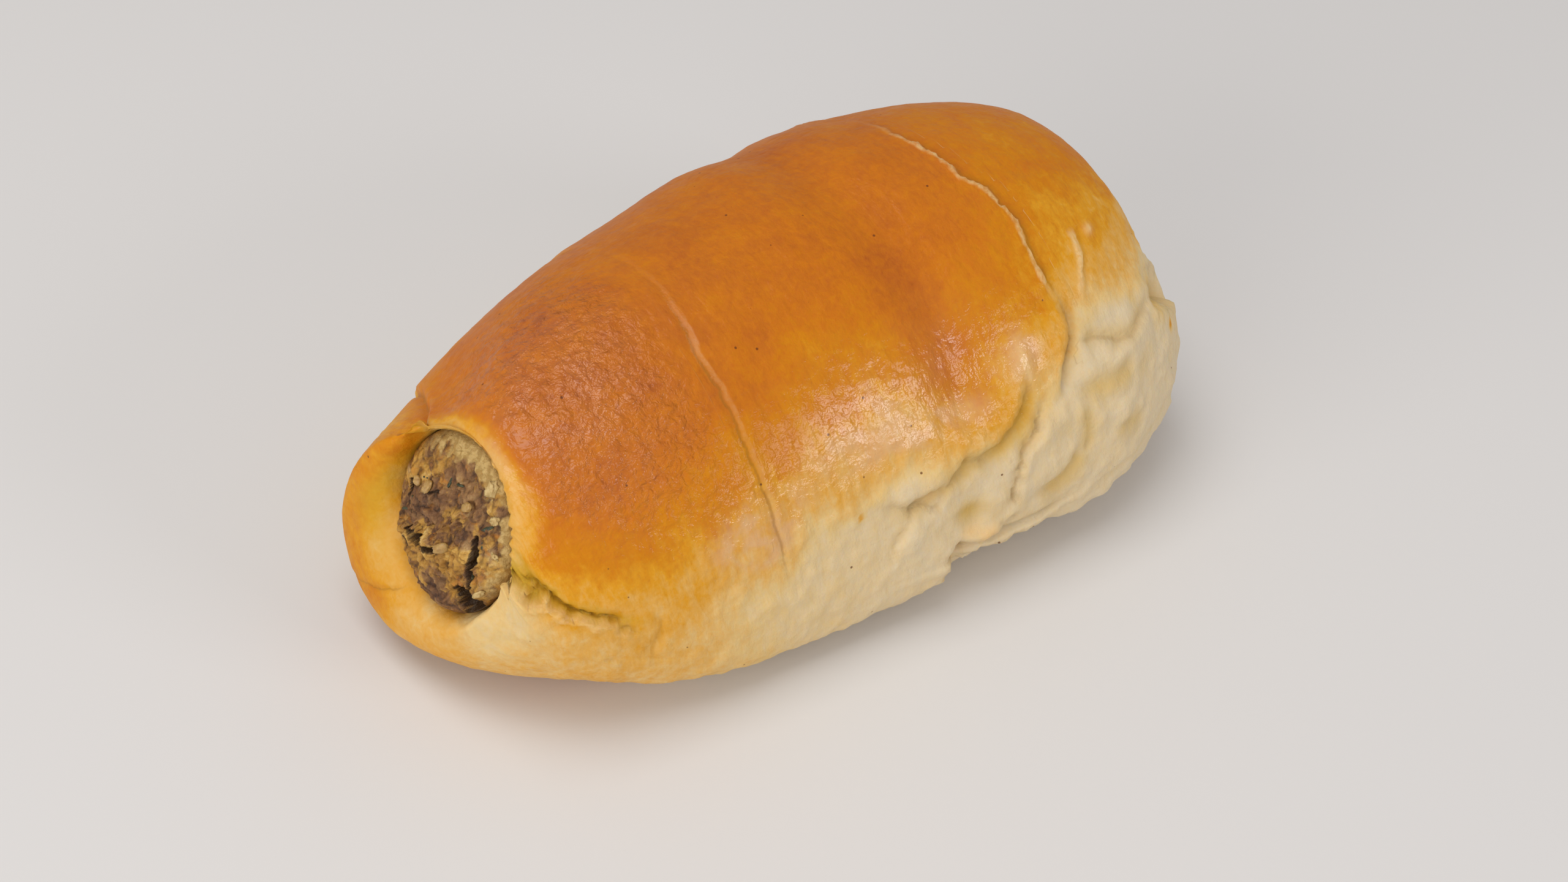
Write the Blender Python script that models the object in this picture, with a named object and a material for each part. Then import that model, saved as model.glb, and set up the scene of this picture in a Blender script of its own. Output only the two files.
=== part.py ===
"""Boudin kolache: a soft sweet roll wound round a whole link of boudin.

The roll lies along X with its shown mouth at -X, its front towards -Y and its flat
underside on Z = 0. Shapes are worked out in millimetres and scaled to metres as each
mesh is made.

The dough is a loft of closed rings. A ring has a station, from -1 at the crest of the
near mouth to +1 at the crest of the far mouth, and a point on it has an angle round
the boudin: 0 degrees at the front, 90 on top, 180 at the back and 270 underneath.
"""

import math
from typing import NamedTuple

import bmesh
import bpy
import numpy as np
from mathutils import Vector, noise

MILLIMETRE = 0.001
SMALLEST_LENGTH = 1e-12

# The body of the roll
ROLL_WIDTH = 80.7
ROLL_HEIGHT = 54.8
WIDEST_LEVEL = 10.9
WIDTH_GROWTH = 0.247
HEIGHT_GROWTH = 0.101
SIDEWAYS_BOW = 6.85
GROWTH_LENGTH = 70.0
SECTION_SIDE_POWER = 1.97
SECTION_TOP_POWER = 1.7
SECTION_BOTTOM_POWER = 3.5
UNDERSIDE_CUT = 1.5

# How the body closes in on each mouth
NEAR_NOSE_POWER = 3.5
FAR_NOSE_POWER = 2.33
UNDERSIDE_TUCK = 0.4
NOSE_ROUNDNESS = 1.8

# The mouths. Each crest is a circle round the boudin with a fat collar on one side: a mean X,
# a lean with height and a skew with Y, the radius opposite the collar, and what the collar
# adds to it at the angle of its middle
NEAR_CREST_X = -60.4
NEAR_CREST_LEAN = 6.3
NEAR_CREST_SKEW = 2.8
NEAR_CREST_RADIUS = 14.0
NEAR_COLLAR_EXTRA = 5.8
NEAR_COLLAR_ANGLE = 227.5
FAR_CREST_X = 66.6
FAR_CREST_LEAN = -5.15
FAR_CREST_SKEW = -1.5
FAR_CREST_RADIUS = 15.0
FAR_COLLAR_EXTRA = 5.5
FAR_COLLAR_ANGLE = -20.0

# How far the middle of the near collar has sagged along X, Y and Z
NEAR_COLLAR_SAG = (2.6, 5.0, -4.6)

# How quickly a collar thins to both sides, and how far a lip reaches in past the boudin's edge
COLLAR_POWER = 2.6
MOUTH_MARGIN = 0.7

# The boudin
BOUDIN_RADIUS = 12.8
BOUDIN_Y = 2.2
BOUDIN_Z = 29.2
BOUDIN_NEAR_X = -56.4
BOUDIN_FAR_X = 61.0
BOUDIN_LEAN = 4.4
BOUDIN_DOME = 2.2
BOUDIN_SHOULDER = 1.6
BOUDIN_EDGE_POWER = 6
CRUMB_HEIGHT = 0.9
CRUMB_SIZE = 4.6
CRUMB_FINENESS = 2.3
CRUMB_EDGE_POWER = 4
TUNNEL_GAP = 0.3

# Mesh resolution
ANGLE_STEPS = 80
SKIN_ROWS = 47
LIP_ROWS = 4
TUNNEL_ROWS = 4
SEAM_STATIONS = (-0.36, 0.49)
SEAM_BUNCH_WIDTH = 0.06
SEAM_BUNCHING = 1.4
END_BUNCHING = 1.3
CREST_BUNCHING = 4.0
CREST_BUNCH_STATION = 0.9
FINE_STATIONS = 2001
BOUDIN_STEPS = 40
BOUDIN_CAP_ROWS = 9
BOUDIN_BARREL_ROWS = 8

# Angles on the skin are counted from this one, below the front
LOWEST_ANGLE = -90.0

# Colours: linear RGB, with roughness
CRUST_COLOUR = (0.50, 0.20, 0.035)
CRUST_ROUGHNESS = 0.42
FILLING_COLOUR = (0.15, 0.085, 0.035)
FILLING_ROUGHNESS = 0.75

# How the skin's relief dies away: above the underside, in mm, and at the crest of a mouth
UNDERSIDE_FADE = 7.0
CREST_FADE_STATION = 0.97


class Fold(NamedTuple):
    """An edge of dough that stands proud to the left of its route, with a groove along it.

    The route runs over the skin in steps of (arc length from the middle ring in mm,
    angle in degrees). Height, sink, groove and width are in mm, and fall is the length
    over which the proud side and the sunk side die away. Tapers are the shares of the
    route over which the relief fades in and out.
    """

    route: list
    height: float
    groove: float
    width: float
    fall: float
    sink: float = 0.0
    tapers: tuple = (0.1, 0.1)


class Spot(NamedTuple):
    """A round blister on the skin, or a hollow where height is negative; lengths in mm."""

    along: float
    degrees: float
    radius: float
    height: float


SEAM_ONE = Fold(
    route=[(-22.3, -12.0), (-21.7, 25.0), (-21.6, 60.0), (-20.6, 86.0), (-18.0, 130.0), (-15.0, 200.0)],
    height=0.5, groove=0.4, width=1.1, fall=7.0, sink=0.4)
SEAM_TWO = Fold(
    route=[(35.0, 200.0), (31.0, 140.0), (30.3, 94.0), (32.3, 72.0), (35.0, 55.0), (32.6, 36.0),
           (28.4, 27.0)],
    height=0.6, groove=0.6, width=1.3, fall=9.0, sink=0.6)
LOWER_FOLD = Fold(
    route=[(-7.7, 26.0), (1.1, 22.0), (9.6, 23.0), (20.1, 28.0), (25.0, 34.0), (29.0, 43.0)],
    height=1.0, groove=0.9, width=1.4, fall=8.0)
PLEAT = Fold(
    route=[(0.4, 21.0), (-0.4, 10.0), (-3.0, 2.0), (-4.5, -4.0)],
    height=0.7, groove=0.5, width=1.1, fall=5.0)
INNER_PLEAT = Fold(
    route=[(24.9, 23.0), (19.8, 18.0), (18.9, 12.0), (18.3, 5.0)],
    height=0.9, groove=0.9, width=1.2, fall=5.0)
DARK_CREASE = Fold(
    route=[(29.0, 25.0), (27.1, 20.0), (25.0, 13.0)],
    height=0.6, groove=0.9, width=1.1, fall=4.0)
END_FOLD = Fold(
    route=[(52.5, 22.0), (42.5, 30.0), (35.6, 34.0)],
    height=0.8, groove=0.7, width=1.2, fall=5.0)
LOBE_CRACK = Fold(
    route=[(-43.0, -8.0), (-43.7, 4.0), (-48.9, 12.0), (-55.9, 13.5), (-60.2, 15.5), (-65.0, 9.0),
           (-71.5, 3.0)],
    height=1.5, groove=1.1, width=1.2, fall=9.0, tapers=(0.3, 0.05))
FLAP_BACK = Fold(
    route=[(-40.0, 215.0), (-42.0, 185.0), (-46.0, 160.0), (-52.0, 138.0), (-56.6, 121.0), (-60.0, 103.0)],
    height=0.2, groove=0.5, width=1.6, fall=14.0, sink=0.6, tapers=(0.5, 0.05))
FAR_NOTCH = Fold(
    route=[(74.0, 32.0), (66.0, 32.0), (59.0, 34.0), (54.0, 31.0), (51.0, 25.0), (53.0, 16.0)],
    height=0.6, groove=1.2, width=1.8, fall=8.0, sink=3.4, tapers=(0.02, 0.4))
FAR_CRACK = Fold(
    route=[(70.0, 155.0), (60.0, 163.0), (52.0, 167.0), (45.0, 177.0), (43.0, 195.0)],
    height=1.2, groove=0.9, width=1.5, fall=9.0, tapers=(0.1, 0.5))
FOLDS = (SEAM_ONE, SEAM_TWO, LOWER_FOLD, PLEAT, INNER_PLEAT, DARK_CREASE, END_FOLD, LOBE_CRACK, FLAP_BACK,
         FAR_NOTCH, FAR_CRACK)

# The soft valley between the second and third windings
VALLEY_ROUTE = [(9.0, 27.0), (11.5, 42.0), (11.5, 60.0), (9.5, 100.0), (12.0, 150.0), (16.0, 205.0)]
VALLEY_DEPTH = 1.4
VALLEY_WIDTH = 6.0
VALLEY_TAPERS = (0.15, 0.15)

SPOTS = (
    Spot(along=17.1, degrees=5.5, radius=1.9, height=-1.3),
    Spot(along=6.0, degrees=-4.0, radius=5.5, height=-3.2),
    Spot(along=11.5, degrees=3.0, radius=3.4, height=1.0),
    Spot(along=12.0, degrees=15.0, radius=4.5, height=-0.9),
    Spot(along=42.0, degrees=12.0, radius=8.0, height=0.8),
    Spot(along=-60.0, degrees=3.0, radius=6.0, height=0.9),
    Spot(along=-52.0, degrees=119.0, radius=10.0, height=-2.7),
)


def signed_power(base, exponent):
    """Raise the size of base to exponent and keep its sign."""
    return np.sign(base) * np.abs(base) ** exponent


def smooth_step(low, high, value):
    """Rise from 0 at low to 1 at high, level at both ends."""
    share = np.clip((value - low) / (high - low), 0.0, 1.0)
    return share * share * (3.0 - 2.0 * share)


def collar_share(middle_angle, angle):
    """How much of the collar is there: 1 at its middle, less and less round to the flap."""
    return (0.5 + 0.5 * np.cos(angle - math.radians(middle_angle))) ** COLLAR_POWER


def crest_point(station, angle):
    """Crest of the mouth on the station's side: a leaning ring with a fat, sagging collar."""
    across, upward = -np.cos(angle), np.sin(angle)
    near_share = collar_share(NEAR_COLLAR_ANGLE, angle)
    sag_x, sag_y, sag_z = NEAR_COLLAR_SAG
    near_radius = NEAR_CREST_RADIUS + NEAR_COLLAR_EXTRA * near_share
    near_x = NEAR_CREST_X + NEAR_CREST_LEAN * upward - NEAR_CREST_SKEW * across + sag_x * near_share
    near_y = near_radius * across + sag_y * near_share
    near_z = near_radius * upward + sag_z * near_share
    far_radius = FAR_CREST_RADIUS + FAR_COLLAR_EXTRA * collar_share(FAR_COLLAR_ANGLE, angle)
    far_x = FAR_CREST_X + FAR_CREST_LEAN * upward - FAR_CREST_SKEW * across
    is_near = station < 0.0
    y = BOUDIN_Y + np.where(is_near, near_y, far_radius * across)
    z = BOUDIN_Z + np.where(is_near, near_z, far_radius * upward)
    return np.where(is_near, near_x, far_x), y, z


def skin_point(station, angle):
    """Place the outer skin: a rounded section that shrinks to the crest at both ends."""
    across, upward = -np.cos(angle), np.sin(angle)
    crest_x, crest_y, crest_z = crest_point(station, angle)
    x = np.abs(station) * crest_x
    nose = np.where(station < 0.0, NEAR_NOSE_POWER, FAR_NOSE_POWER)
    nose = nose - UNDERSIDE_TUCK * np.clip(-upward, 0.0, 1.0)
    fullness = np.clip(1.0 - np.abs(station) ** nose, 0.0, 1.0) ** (1.0 / NOSE_ROUNDNESS)
    along = x / GROWTH_LENGTH
    half_width = 0.5 * ROLL_WIDTH * (1.0 + WIDTH_GROWTH * along)
    height = ROLL_HEIGHT * (1.0 + HEIGHT_GROWTH * along)
    body_y = SIDEWAYS_BOW * (1.0 - along ** 2) + half_width * signed_power(across, 2.0 / SECTION_SIDE_POWER)
    rise = (height - WIDEST_LEVEL) * np.clip(upward, 0.0, 1.0) ** (2.0 / SECTION_TOP_POWER)
    drop = (WIDEST_LEVEL + UNDERSIDE_CUT) * np.clip(-upward, 0.0, 1.0) ** (2.0 / SECTION_BOTTOM_POWER)
    body_z = WIDEST_LEVEL + rise - drop
    y = crest_y + (body_y - crest_y) * fullness
    z = crest_z + (body_z - crest_z) * fullness
    return np.stack([x, y, np.maximum(z, 0.0)], axis=-1)


def mouth_point(end, share, angle):
    """Place the lip: a quarter ellipse from the crest (share 0) to the boudin's edge (share 1)."""
    across, upward = -np.cos(angle), np.sin(angle)
    turn = 0.5 * np.pi * share
    face_x = BOUDIN_NEAR_X if end < 0 else BOUDIN_FAR_X
    edge_x = face_x - end * (BOUDIN_LEAN * upward + MOUTH_MARGIN)
    edge_y = BOUDIN_Y + (BOUDIN_RADIUS + TUNNEL_GAP) * across
    edge_z = BOUDIN_Z + (BOUDIN_RADIUS + TUNNEL_GAP) * upward
    crest_x, crest_y, crest_z = crest_point(end, angle)
    x = edge_x + (crest_x - edge_x) * np.cos(turn)
    y = edge_y + (crest_y - edge_y) * (1.0 - np.sin(turn))
    z = edge_z + (crest_z - edge_z) * (1.0 - np.sin(turn))
    return np.stack([x, y, z], axis=-1)


def measure_skin(skin, stations, angles):
    """Where each skin point lies: arc length from the middle ring, degrees, and mm per degree."""
    runs = np.linalg.norm(np.diff(skin, axis=0), axis=2)
    total = np.concatenate([np.zeros((1, skin.shape[1])), np.cumsum(runs, axis=0)])
    order = stations[:, 0]
    below = np.searchsorted(order, 0.0, side="right") - 1
    share = -order[below] / (order[below + 1] - order[below])
    middle = total[below] + share * (total[below + 1] - total[below])
    chords = np.linalg.norm(np.roll(skin, -1, axis=1) - np.roll(skin, 1, axis=1), axis=2)
    degrees_a_chord = 2.0 * 360.0 / skin.shape[1]
    girth = chords / degrees_a_chord
    degrees = (np.degrees(angles) - LOWEST_ANGLE) % 360.0 + LOWEST_ANGLE
    return total - middle, degrees, girth


def measure_route(place, route):
    """Signed distance from a route on the skin, positive to its left, and the share run."""
    along, degrees, girth = place
    nearest = np.full(along.shape, np.inf)
    side = np.ones(along.shape)
    share = np.zeros(along.shape)
    for index, (start, end) in enumerate(zip(route[:-1], route[1:])):
        run_along, run_up = end[0] - start[0], (end[1] - start[1]) * girth
        gap_along, gap_up = along - start[0], (degrees - start[1]) * girth
        part = (gap_along * run_along + gap_up * run_up) / (run_along ** 2 + run_up ** 2)
        part = np.clip(part, 0.0, 1.0)
        distance = np.hypot(gap_along - part * run_along, gap_up - part * run_up)
        closer = distance < nearest
        nearest = np.where(closer, distance, nearest)
        side = np.where(closer, np.sign(run_along * gap_up - run_up * gap_along), side)
        share = np.where(closer, (index + part) / (len(route) - 1), share)
    return nearest * side, share


def fade_ends(share, tapers):
    """Fade a route's relief in and out over the given shares of its run."""
    return smooth_step(0.0, tapers[0], share) * smooth_step(1.0, 1.0 - tapers[1], share)


def fold_relief(place, fold):
    """Relief of one fold: proud on its left, sunk on its right, with a groove between."""
    distance, share = measure_route(place, fold.route)
    rise = smooth_step(-fold.width, fold.width, distance)
    proud = fold.height * rise * np.exp(-np.maximum(distance, 0.0) / fold.fall)
    sunk = fold.sink * (1.0 - rise) * np.exp(np.minimum(distance, 0.0) / fold.fall)
    groove = fold.groove * np.exp(-((distance + 0.5 * fold.width) / fold.width) ** 2)
    return fade_ends(share, fold.tapers) * (proud - sunk - groove)


def valley_relief(place):
    """Relief of the soft valley."""
    distance, share = measure_route(place, VALLEY_ROUTE)
    return -VALLEY_DEPTH * fade_ends(share, VALLEY_TAPERS) * np.exp(-(distance / VALLEY_WIDTH) ** 2)


def spot_relief(place, spot):
    """Relief of one blister or hollow."""
    along, degrees, girth = place
    distance = np.hypot(along - spot.along, (degrees - spot.degrees) * girth)
    return spot.height * np.exp(-(distance / spot.radius) ** 2)


def skin_relief(place):
    """Height of the skin over the plain loft: windings, folds, the cracked lobe and blisters."""
    relief = valley_relief(place)
    for fold in FOLDS:
        relief += fold_relief(place, fold)
    for spot in SPOTS:
        relief += spot_relief(place, spot)
    return relief


def outward_normals(points):
    """Unit normals of a grid of points, from the steps between its neighbours."""
    around = np.roll(points, -1, axis=1) - np.roll(points, 1, axis=1)
    along = np.roll(points, -1, axis=0) - np.roll(points, 1, axis=0)
    normals = np.cross(along, around)
    return normals / np.maximum(np.linalg.norm(normals, axis=-1, keepdims=True), SMALLEST_LENGTH)


def skin_stations():
    """Stations from -1 to 1, bunched towards both mouths and along the two seams."""
    fine = np.linspace(-1.0, 1.0, FINE_STATIONS)
    density = 1.0 + END_BUNCHING * fine ** 2
    density += CREST_BUNCHING * smooth_step(CREST_BUNCH_STATION, 1.0, np.abs(fine))
    for seam_station in SEAM_STATIONS:
        density += SEAM_BUNCHING * np.exp(-((fine - seam_station) / SEAM_BUNCH_WIDTH) ** 2)
    total = np.concatenate([[0.0], np.cumsum(0.5 * (density[1:] + density[:-1]))])
    return np.interp(np.linspace(0.0, total[-1], SKIN_ROWS), total, fine)


def dough_grid():
    """All rings of the dough: over the skin, in at the far mouth and back through the tunnel."""
    angle = np.linspace(0.0, 2.0 * np.pi, ANGLE_STEPS, endpoint=False)
    stations, angles = np.meshgrid(skin_stations(), angle, indexing="ij")
    skin = skin_point(stations, angles)
    lip_shares, lip_angles = np.meshgrid(np.linspace(0.0, 1.0, LIP_ROWS + 1)[1:], angle, indexing="ij")
    far_lip = mouth_point(1, lip_shares, lip_angles)
    near_lip = mouth_point(-1, lip_shares, lip_angles)[::-1]
    shares = np.linspace(0.0, 1.0, TUNNEL_ROWS + 2)[1:-1, None, None]
    tunnel = far_lip[-1] + (near_lip[0] - far_lip[-1]) * shares
    grid = np.concatenate([skin, far_lip, tunnel, near_lip])
    normals = outward_normals(grid)
    fade = smooth_step(0.0, UNDERSIDE_FADE, skin[..., 2])
    fade *= smooth_step(1.0, CREST_FADE_STATION, np.abs(stations))
    raised = skin_relief(measure_skin(skin, stations, angles)) * fade
    grid[:SKIN_ROWS] += normals[:SKIN_ROWS] * raised[..., None]
    return grid


def mesh_from_rings(name, grid):
    """Make one closed mesh from rings that join up round both ways."""
    rows, steps = grid.shape[:2]
    index = np.arange(rows * steps).reshape(rows, steps)
    after = np.roll(index, -1, axis=0)
    corners = [index, after, np.roll(after, -1, axis=1), np.roll(index, -1, axis=1)]
    faces = np.stack(corners, axis=-1).reshape(-1, 4)
    mesh = bpy.data.meshes.new(name)
    mesh.from_pydata((grid.reshape(-1, 3) * MILLIMETRE).tolist(), [], faces.tolist())
    mesh.update()
    return mesh


def boudin_profile(row):
    """Depth behind the rim of the end face, and radius, of one ring of the cap."""
    reach = row / BOUDIN_CAP_ROWS
    shoulder = BOUDIN_SHOULDER * (1.0 - math.sqrt(max(0.0, 1.0 - reach ** BOUDIN_EDGE_POWER)))
    return BOUDIN_DOME * (reach ** 2 - 1.0) + shoulder, BOUDIN_RADIUS * reach


def crumb_offset(x, y, z):
    """Roughness of the crumbly end faces, in millimetres outwards."""
    place = Vector((x, y, z)) / CRUMB_SIZE
    return CRUMB_HEIGHT * (noise.noise(place) + 0.5 * noise.noise(place * CRUMB_FINENESS))


def shape_boudin(vertex):
    """Move a vertex of a unit sphere, poles on X, on to the link."""
    end = -1 if vertex.x < 0.0 else 1
    half_rows = BOUDIN_CAP_ROWS + BOUDIN_BARREL_ROWS
    row = round(math.acos(min(1.0, abs(vertex.x))) / math.pi * 2 * half_rows)
    turn = math.atan2(vertex.z, vertex.y) if row else 0.0
    face_x = BOUDIN_NEAR_X if end < 0 else BOUDIN_FAR_X
    if row <= BOUDIN_CAP_ROWS:
        depth, radius = boudin_profile(row)
        y, z = radius * math.cos(turn), radius * math.sin(turn)
        lean = BOUDIN_LEAN * z / BOUDIN_RADIUS
        rough = crumb_offset(face_x, y, z) * (1.0 - (radius / BOUDIN_RADIUS) ** CRUMB_EDGE_POWER)
        return face_x - end * (depth + lean - rough), y, z
    y, z = BOUDIN_RADIUS * math.cos(turn), BOUDIN_RADIUS * math.sin(turn)
    start_x = face_x - end * (BOUDIN_SHOULDER + BOUDIN_LEAN * z / BOUDIN_RADIUS)
    return start_x * (half_rows - row) / BOUDIN_BARREL_ROWS, y, z


def make_material(name, colour, roughness):
    """A Principled material of one colour."""
    material = bpy.data.materials.new(name)
    material.use_nodes = True
    shader = material.node_tree.nodes["Principled BSDF"]
    shader.inputs["Base Color"].default_value = (*colour, 1.0)
    shader.inputs["Roughness"].default_value = roughness
    shader.inputs["Metallic"].default_value = 0.0
    return material


def add_object(collection, name, mesh, material):
    """Put a mesh in the collection as one smooth-shaded object."""
    mesh.materials.append(material)
    mesh.shade_smooth()
    placed = bpy.data.objects.new(name, mesh)
    collection.objects.link(placed)
    return placed


def make_dough(collection):
    """The dough: one solid with the tunnel that the boudin lies in."""
    grid = dough_grid()
    mesh = mesh_from_rings("dough_roll", grid)
    material = make_material("baked_crust", CRUST_COLOUR, CRUST_ROUGHNESS)
    return add_object(collection, "dough_roll", mesh, material)


def make_boudin(collection):
    """The boudin: a stretched sphere with crumbly, slightly domed ends."""
    shape = bmesh.new()
    rows = 2 * (BOUDIN_CAP_ROWS + BOUDIN_BARREL_ROWS)
    bmesh.ops.create_uvsphere(shape, u_segments=BOUDIN_STEPS, v_segments=rows, radius=1.0)
    for vertex in shape.verts:
        pole_on_x = Vector((vertex.co.z, vertex.co.y, -vertex.co.x))
        x, y, z = shape_boudin(pole_on_x)
        vertex.co = Vector((x, BOUDIN_Y + y, BOUDIN_Z + z)) * MILLIMETRE
    mesh = bpy.data.meshes.new("boudin_filling")
    shape.to_mesh(mesh)
    shape.free()
    material = make_material("boudin_mix", FILLING_COLOUR, FILLING_ROUGHNESS)
    return add_object(collection, "boudin_filling", mesh, material)


def centre_on_origin(dough, boudin):
    """Shift both meshes so that the roll's box is centred on X and Y, resting on Z = 0."""
    corners = np.array([vertex.co for vertex in dough.data.vertices])
    middle = 0.5 * (corners.min(axis=0) + corners.max(axis=0))
    shift = Vector((-middle[0], -middle[1], -corners[:, 2].min()))
    for piece in (dough, boudin):
        for vertex in piece.data.vertices:
            vertex.co += shift


def main():
    """Clear the scene and build the two pieces."""
    for existing in list(bpy.data.objects):
        bpy.data.objects.remove(existing, do_unlink=True)
    collection = bpy.data.collections.new("boudin_kolache")
    bpy.context.scene.collection.children.link(collection)
    dough = make_dough(collection)
    boudin = make_boudin(collection)
    centre_on_origin(dough, boudin)


main()
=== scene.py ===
"""Looks of a boudin kolache: a soft sweet roll wound round a whole link of boudin.

Lengths are in millimetres until a mesh is made, which turns them into metres and puts
the middle of the roll on the origin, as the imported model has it.

The dough is a grid of closed rings. A ring has a station, from -1 at the crest of the
near mouth to +1 at the crest of the far mouth, and a point on it has an angle round the
boudin: 0 degrees at the front, 90 on top, 180 at the back and 270 underneath. Features
on the skin are placed by their arc length from the middle ring and that angle.
"""

import logging
import math
from dataclasses import dataclass, field
from enum import Enum
from functools import reduce

import bpy
import numpy as np
from mathutils import Matrix


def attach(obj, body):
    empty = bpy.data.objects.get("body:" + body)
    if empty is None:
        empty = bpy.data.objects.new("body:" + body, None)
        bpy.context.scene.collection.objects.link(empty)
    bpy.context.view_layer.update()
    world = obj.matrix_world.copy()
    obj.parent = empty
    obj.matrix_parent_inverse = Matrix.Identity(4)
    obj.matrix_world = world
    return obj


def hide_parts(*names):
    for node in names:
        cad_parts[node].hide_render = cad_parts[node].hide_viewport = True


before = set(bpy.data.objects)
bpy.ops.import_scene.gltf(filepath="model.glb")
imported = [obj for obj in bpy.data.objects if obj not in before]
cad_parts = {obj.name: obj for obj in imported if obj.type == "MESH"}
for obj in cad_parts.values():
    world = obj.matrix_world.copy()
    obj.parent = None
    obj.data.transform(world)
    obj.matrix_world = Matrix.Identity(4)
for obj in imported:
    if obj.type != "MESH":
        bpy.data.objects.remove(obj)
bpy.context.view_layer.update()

log = logging.getLogger("kolache")

Array = np.ndarray
Colour = tuple[float, float, float]
Ramp = tuple[tuple[float, Colour], ...]
Socket = bpy.types.NodeSocket
Route = tuple[tuple[float, float], ...]

MILLIMETRE = 0.001
# Middle of the roll's box in plan, in mm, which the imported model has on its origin
MIDDLE = np.array([3.48811, 5.33865, 0.0])
BODY = "root"
# Arc lengths in mm past either end, for a patch that has no start or no stop
BEFORE = (-200.0, -199.0)
PAST = (200.0, 199.0)
# Millimetres of skin a degree where it is laid out flat
FLAT_GIRTH = 0.72
# Squeeze of the flat skin's pattern, which draws it out to streaks round the roll
STREAKED = np.array([1.0, 0.3, 1.0])


class End(Enum):
    """The two open mouths of the roll."""

    NEAR = -1
    FAR = 1


class Slot(Enum):
    """The record's material slots."""

    CRUST = "crust"
    BOUDIN = "boudin"


def smooth_step(low: float, high: float, value: Array) -> Array:
    """Rise from 0 at low to 1 at high, level at both ends: three t squared less two t cubed."""
    share = np.clip((value - low) / (high - low), 0.0, 1.0)
    return share * share * (3.0 - 2.0 * share)


def signed_power(base: Array, exponent: float) -> Array:
    """Raise the size of base to exponent and keep its sign."""
    return np.sign(base) * np.abs(base) ** exponent


def unit(vectors: Array) -> Array:
    """Scale the vectors along the last axis to length 1."""
    return vectors / np.maximum(np.linalg.norm(vectors, axis=-1, keepdims=True), 1e-12)


def from_screen(red: int, green: int, blue: int) -> Colour:
    """Turn a screen colour from 0 to 255 into linear light: a power of 2.4 over a straight foot."""
    shares = (red / 255.0, green / 255.0, blue / 255.0)
    return tuple(s / 12.92 if s <= 0.04045 else ((s + 0.055) / 1.055) ** 2.4 for s in shares)


def shades(*stops: tuple[float, int, int, int]) -> Ramp:
    """Stops of a colour ramp, from positions with their screen colours."""
    return tuple((position, from_screen(*colour)) for position, *colour in stops)


@dataclass(frozen=True)
class SolidNoise:
    """Smooth random values through space, the same on every run.

    Attributes:
        seed: changes the whole pattern.
    """

    seed: int = 1

    def mix(self, cell: Array) -> Array:
        """Mix the three whole numbers of each cell into one, by multiply, exclusive-or and shift.

        Args:
            cell: whole numbers along the last axis.

        Returns:
            One whole number a cell, evenly spread over 32 bits.
        """
        parts = cell.astype(np.int64).astype(np.uint32)
        mixed = parts[..., 0] * np.uint32(73856093) ^ parts[..., 1] * np.uint32(19349663)
        mixed = mixed ^ parts[..., 2] * np.uint32(83492791) ^ np.uint32(self.seed * 2654435 + 97)
        for _ in range(2):
            mixed = (mixed ^ (mixed >> np.uint32(13))) * np.uint32(1540483477)
            mixed = mixed ^ (mixed >> np.uint32(15))
        return mixed

    def spread(self, cell: Array) -> Array:
        """Give each cell a random point of a cube, as three numbers from 0 to 1."""
        mixed = self.mix(cell)
        return np.stack([(mixed >> np.uint32(shift)) & np.uint32(1023) for shift in (0, 10, 20)], axis=-1) / 1023.0

    def smooth(self, points: Array, size: float) -> Array:
        """Gradient noise: a random slope at each corner of a lattice, blended across the cell.

        Args:
            points: positions along the last axis, in mm.
            size: side of a lattice cell in mm.

        Returns:
            Values from about -1 to 1.
        """
        scaled = points / size
        base = np.floor(scaled)
        inside = scaled - base
        blend = inside ** 3 * (inside * (inside * 6.0 - 15.0) + 10.0)
        total = np.zeros(points.shape[:-1])
        for corner in np.ndindex(2, 2, 2):
            step = np.array(corner, float)
            slope = 2.0 * self.spread(base + step) - 1.0
            weight = np.prod(np.where(step > 0.5, blend, 1.0 - blend), axis=-1)
            total += weight * np.sum(slope * (inside - step), axis=-1)
        return 1.7 * total

    def layered(self, points: Array, size: float, layers: int = 3) -> Array:
        """Add layers of noise on points in mm, each with half the cell and half the height of the last."""
        return sum(0.5 ** k * self.smooth(points + 31.7 * k, size * 0.5 ** k) for k in range(layers))

    def stirred(self, points: Array, size: float, reach: float) -> Array:
        """Shift points along each axis by up to reach, so that a pattern on them swirls."""
        shifts = [self.smooth(points + offset, size) for offset in (13.1, 57.3, 91.9)]
        return points + reach * np.stack(shifts, axis=-1)

    def crinkled(self, points: Array, size: float) -> Array:
        """Rounded bumps between sharp creases: the bare size of stirred noise, in two layers."""
        swirled = self.stirred(points, 1.7 * size, 0.6 * size)
        return np.abs(self.smooth(swirled, size)) + 0.5 * np.abs(self.smooth(swirled + 40.0, 0.55 * size))

    def lumps(self, points: Array, size: float) -> tuple[Array, Array, Array]:
        """Split space into lumps round scattered points, and measure to the two nearest.

        Args:
            points: positions along the last axis, in mm.
            size: mean width of a lump in mm.

        Returns:
            Distance to the nearest point and gap to the second, as shares of the size, and
            a random tone from 0 to 1 for each lump.
        """
        scaled = points / size
        base = np.floor(scaled)
        first = np.full(points.shape[:-1], 9.0)
        second = first.copy()
        tone = np.zeros(points.shape[:-1])
        for offset in np.ndindex(3, 3, 3):
            cell = base + np.array(offset, float) - 1.0
            place = self.spread(cell)
            distance = np.linalg.norm(cell + place - scaled, axis=-1)
            closer = distance < first
            second = np.where(closer, first, np.minimum(second, distance))
            tone = np.where(closer, (place[..., 0] * 7.31 + place[..., 1] * 3.17) % 1.0, tone)
            first = np.where(closer, distance, first)
        return first, second - first, tone


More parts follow.
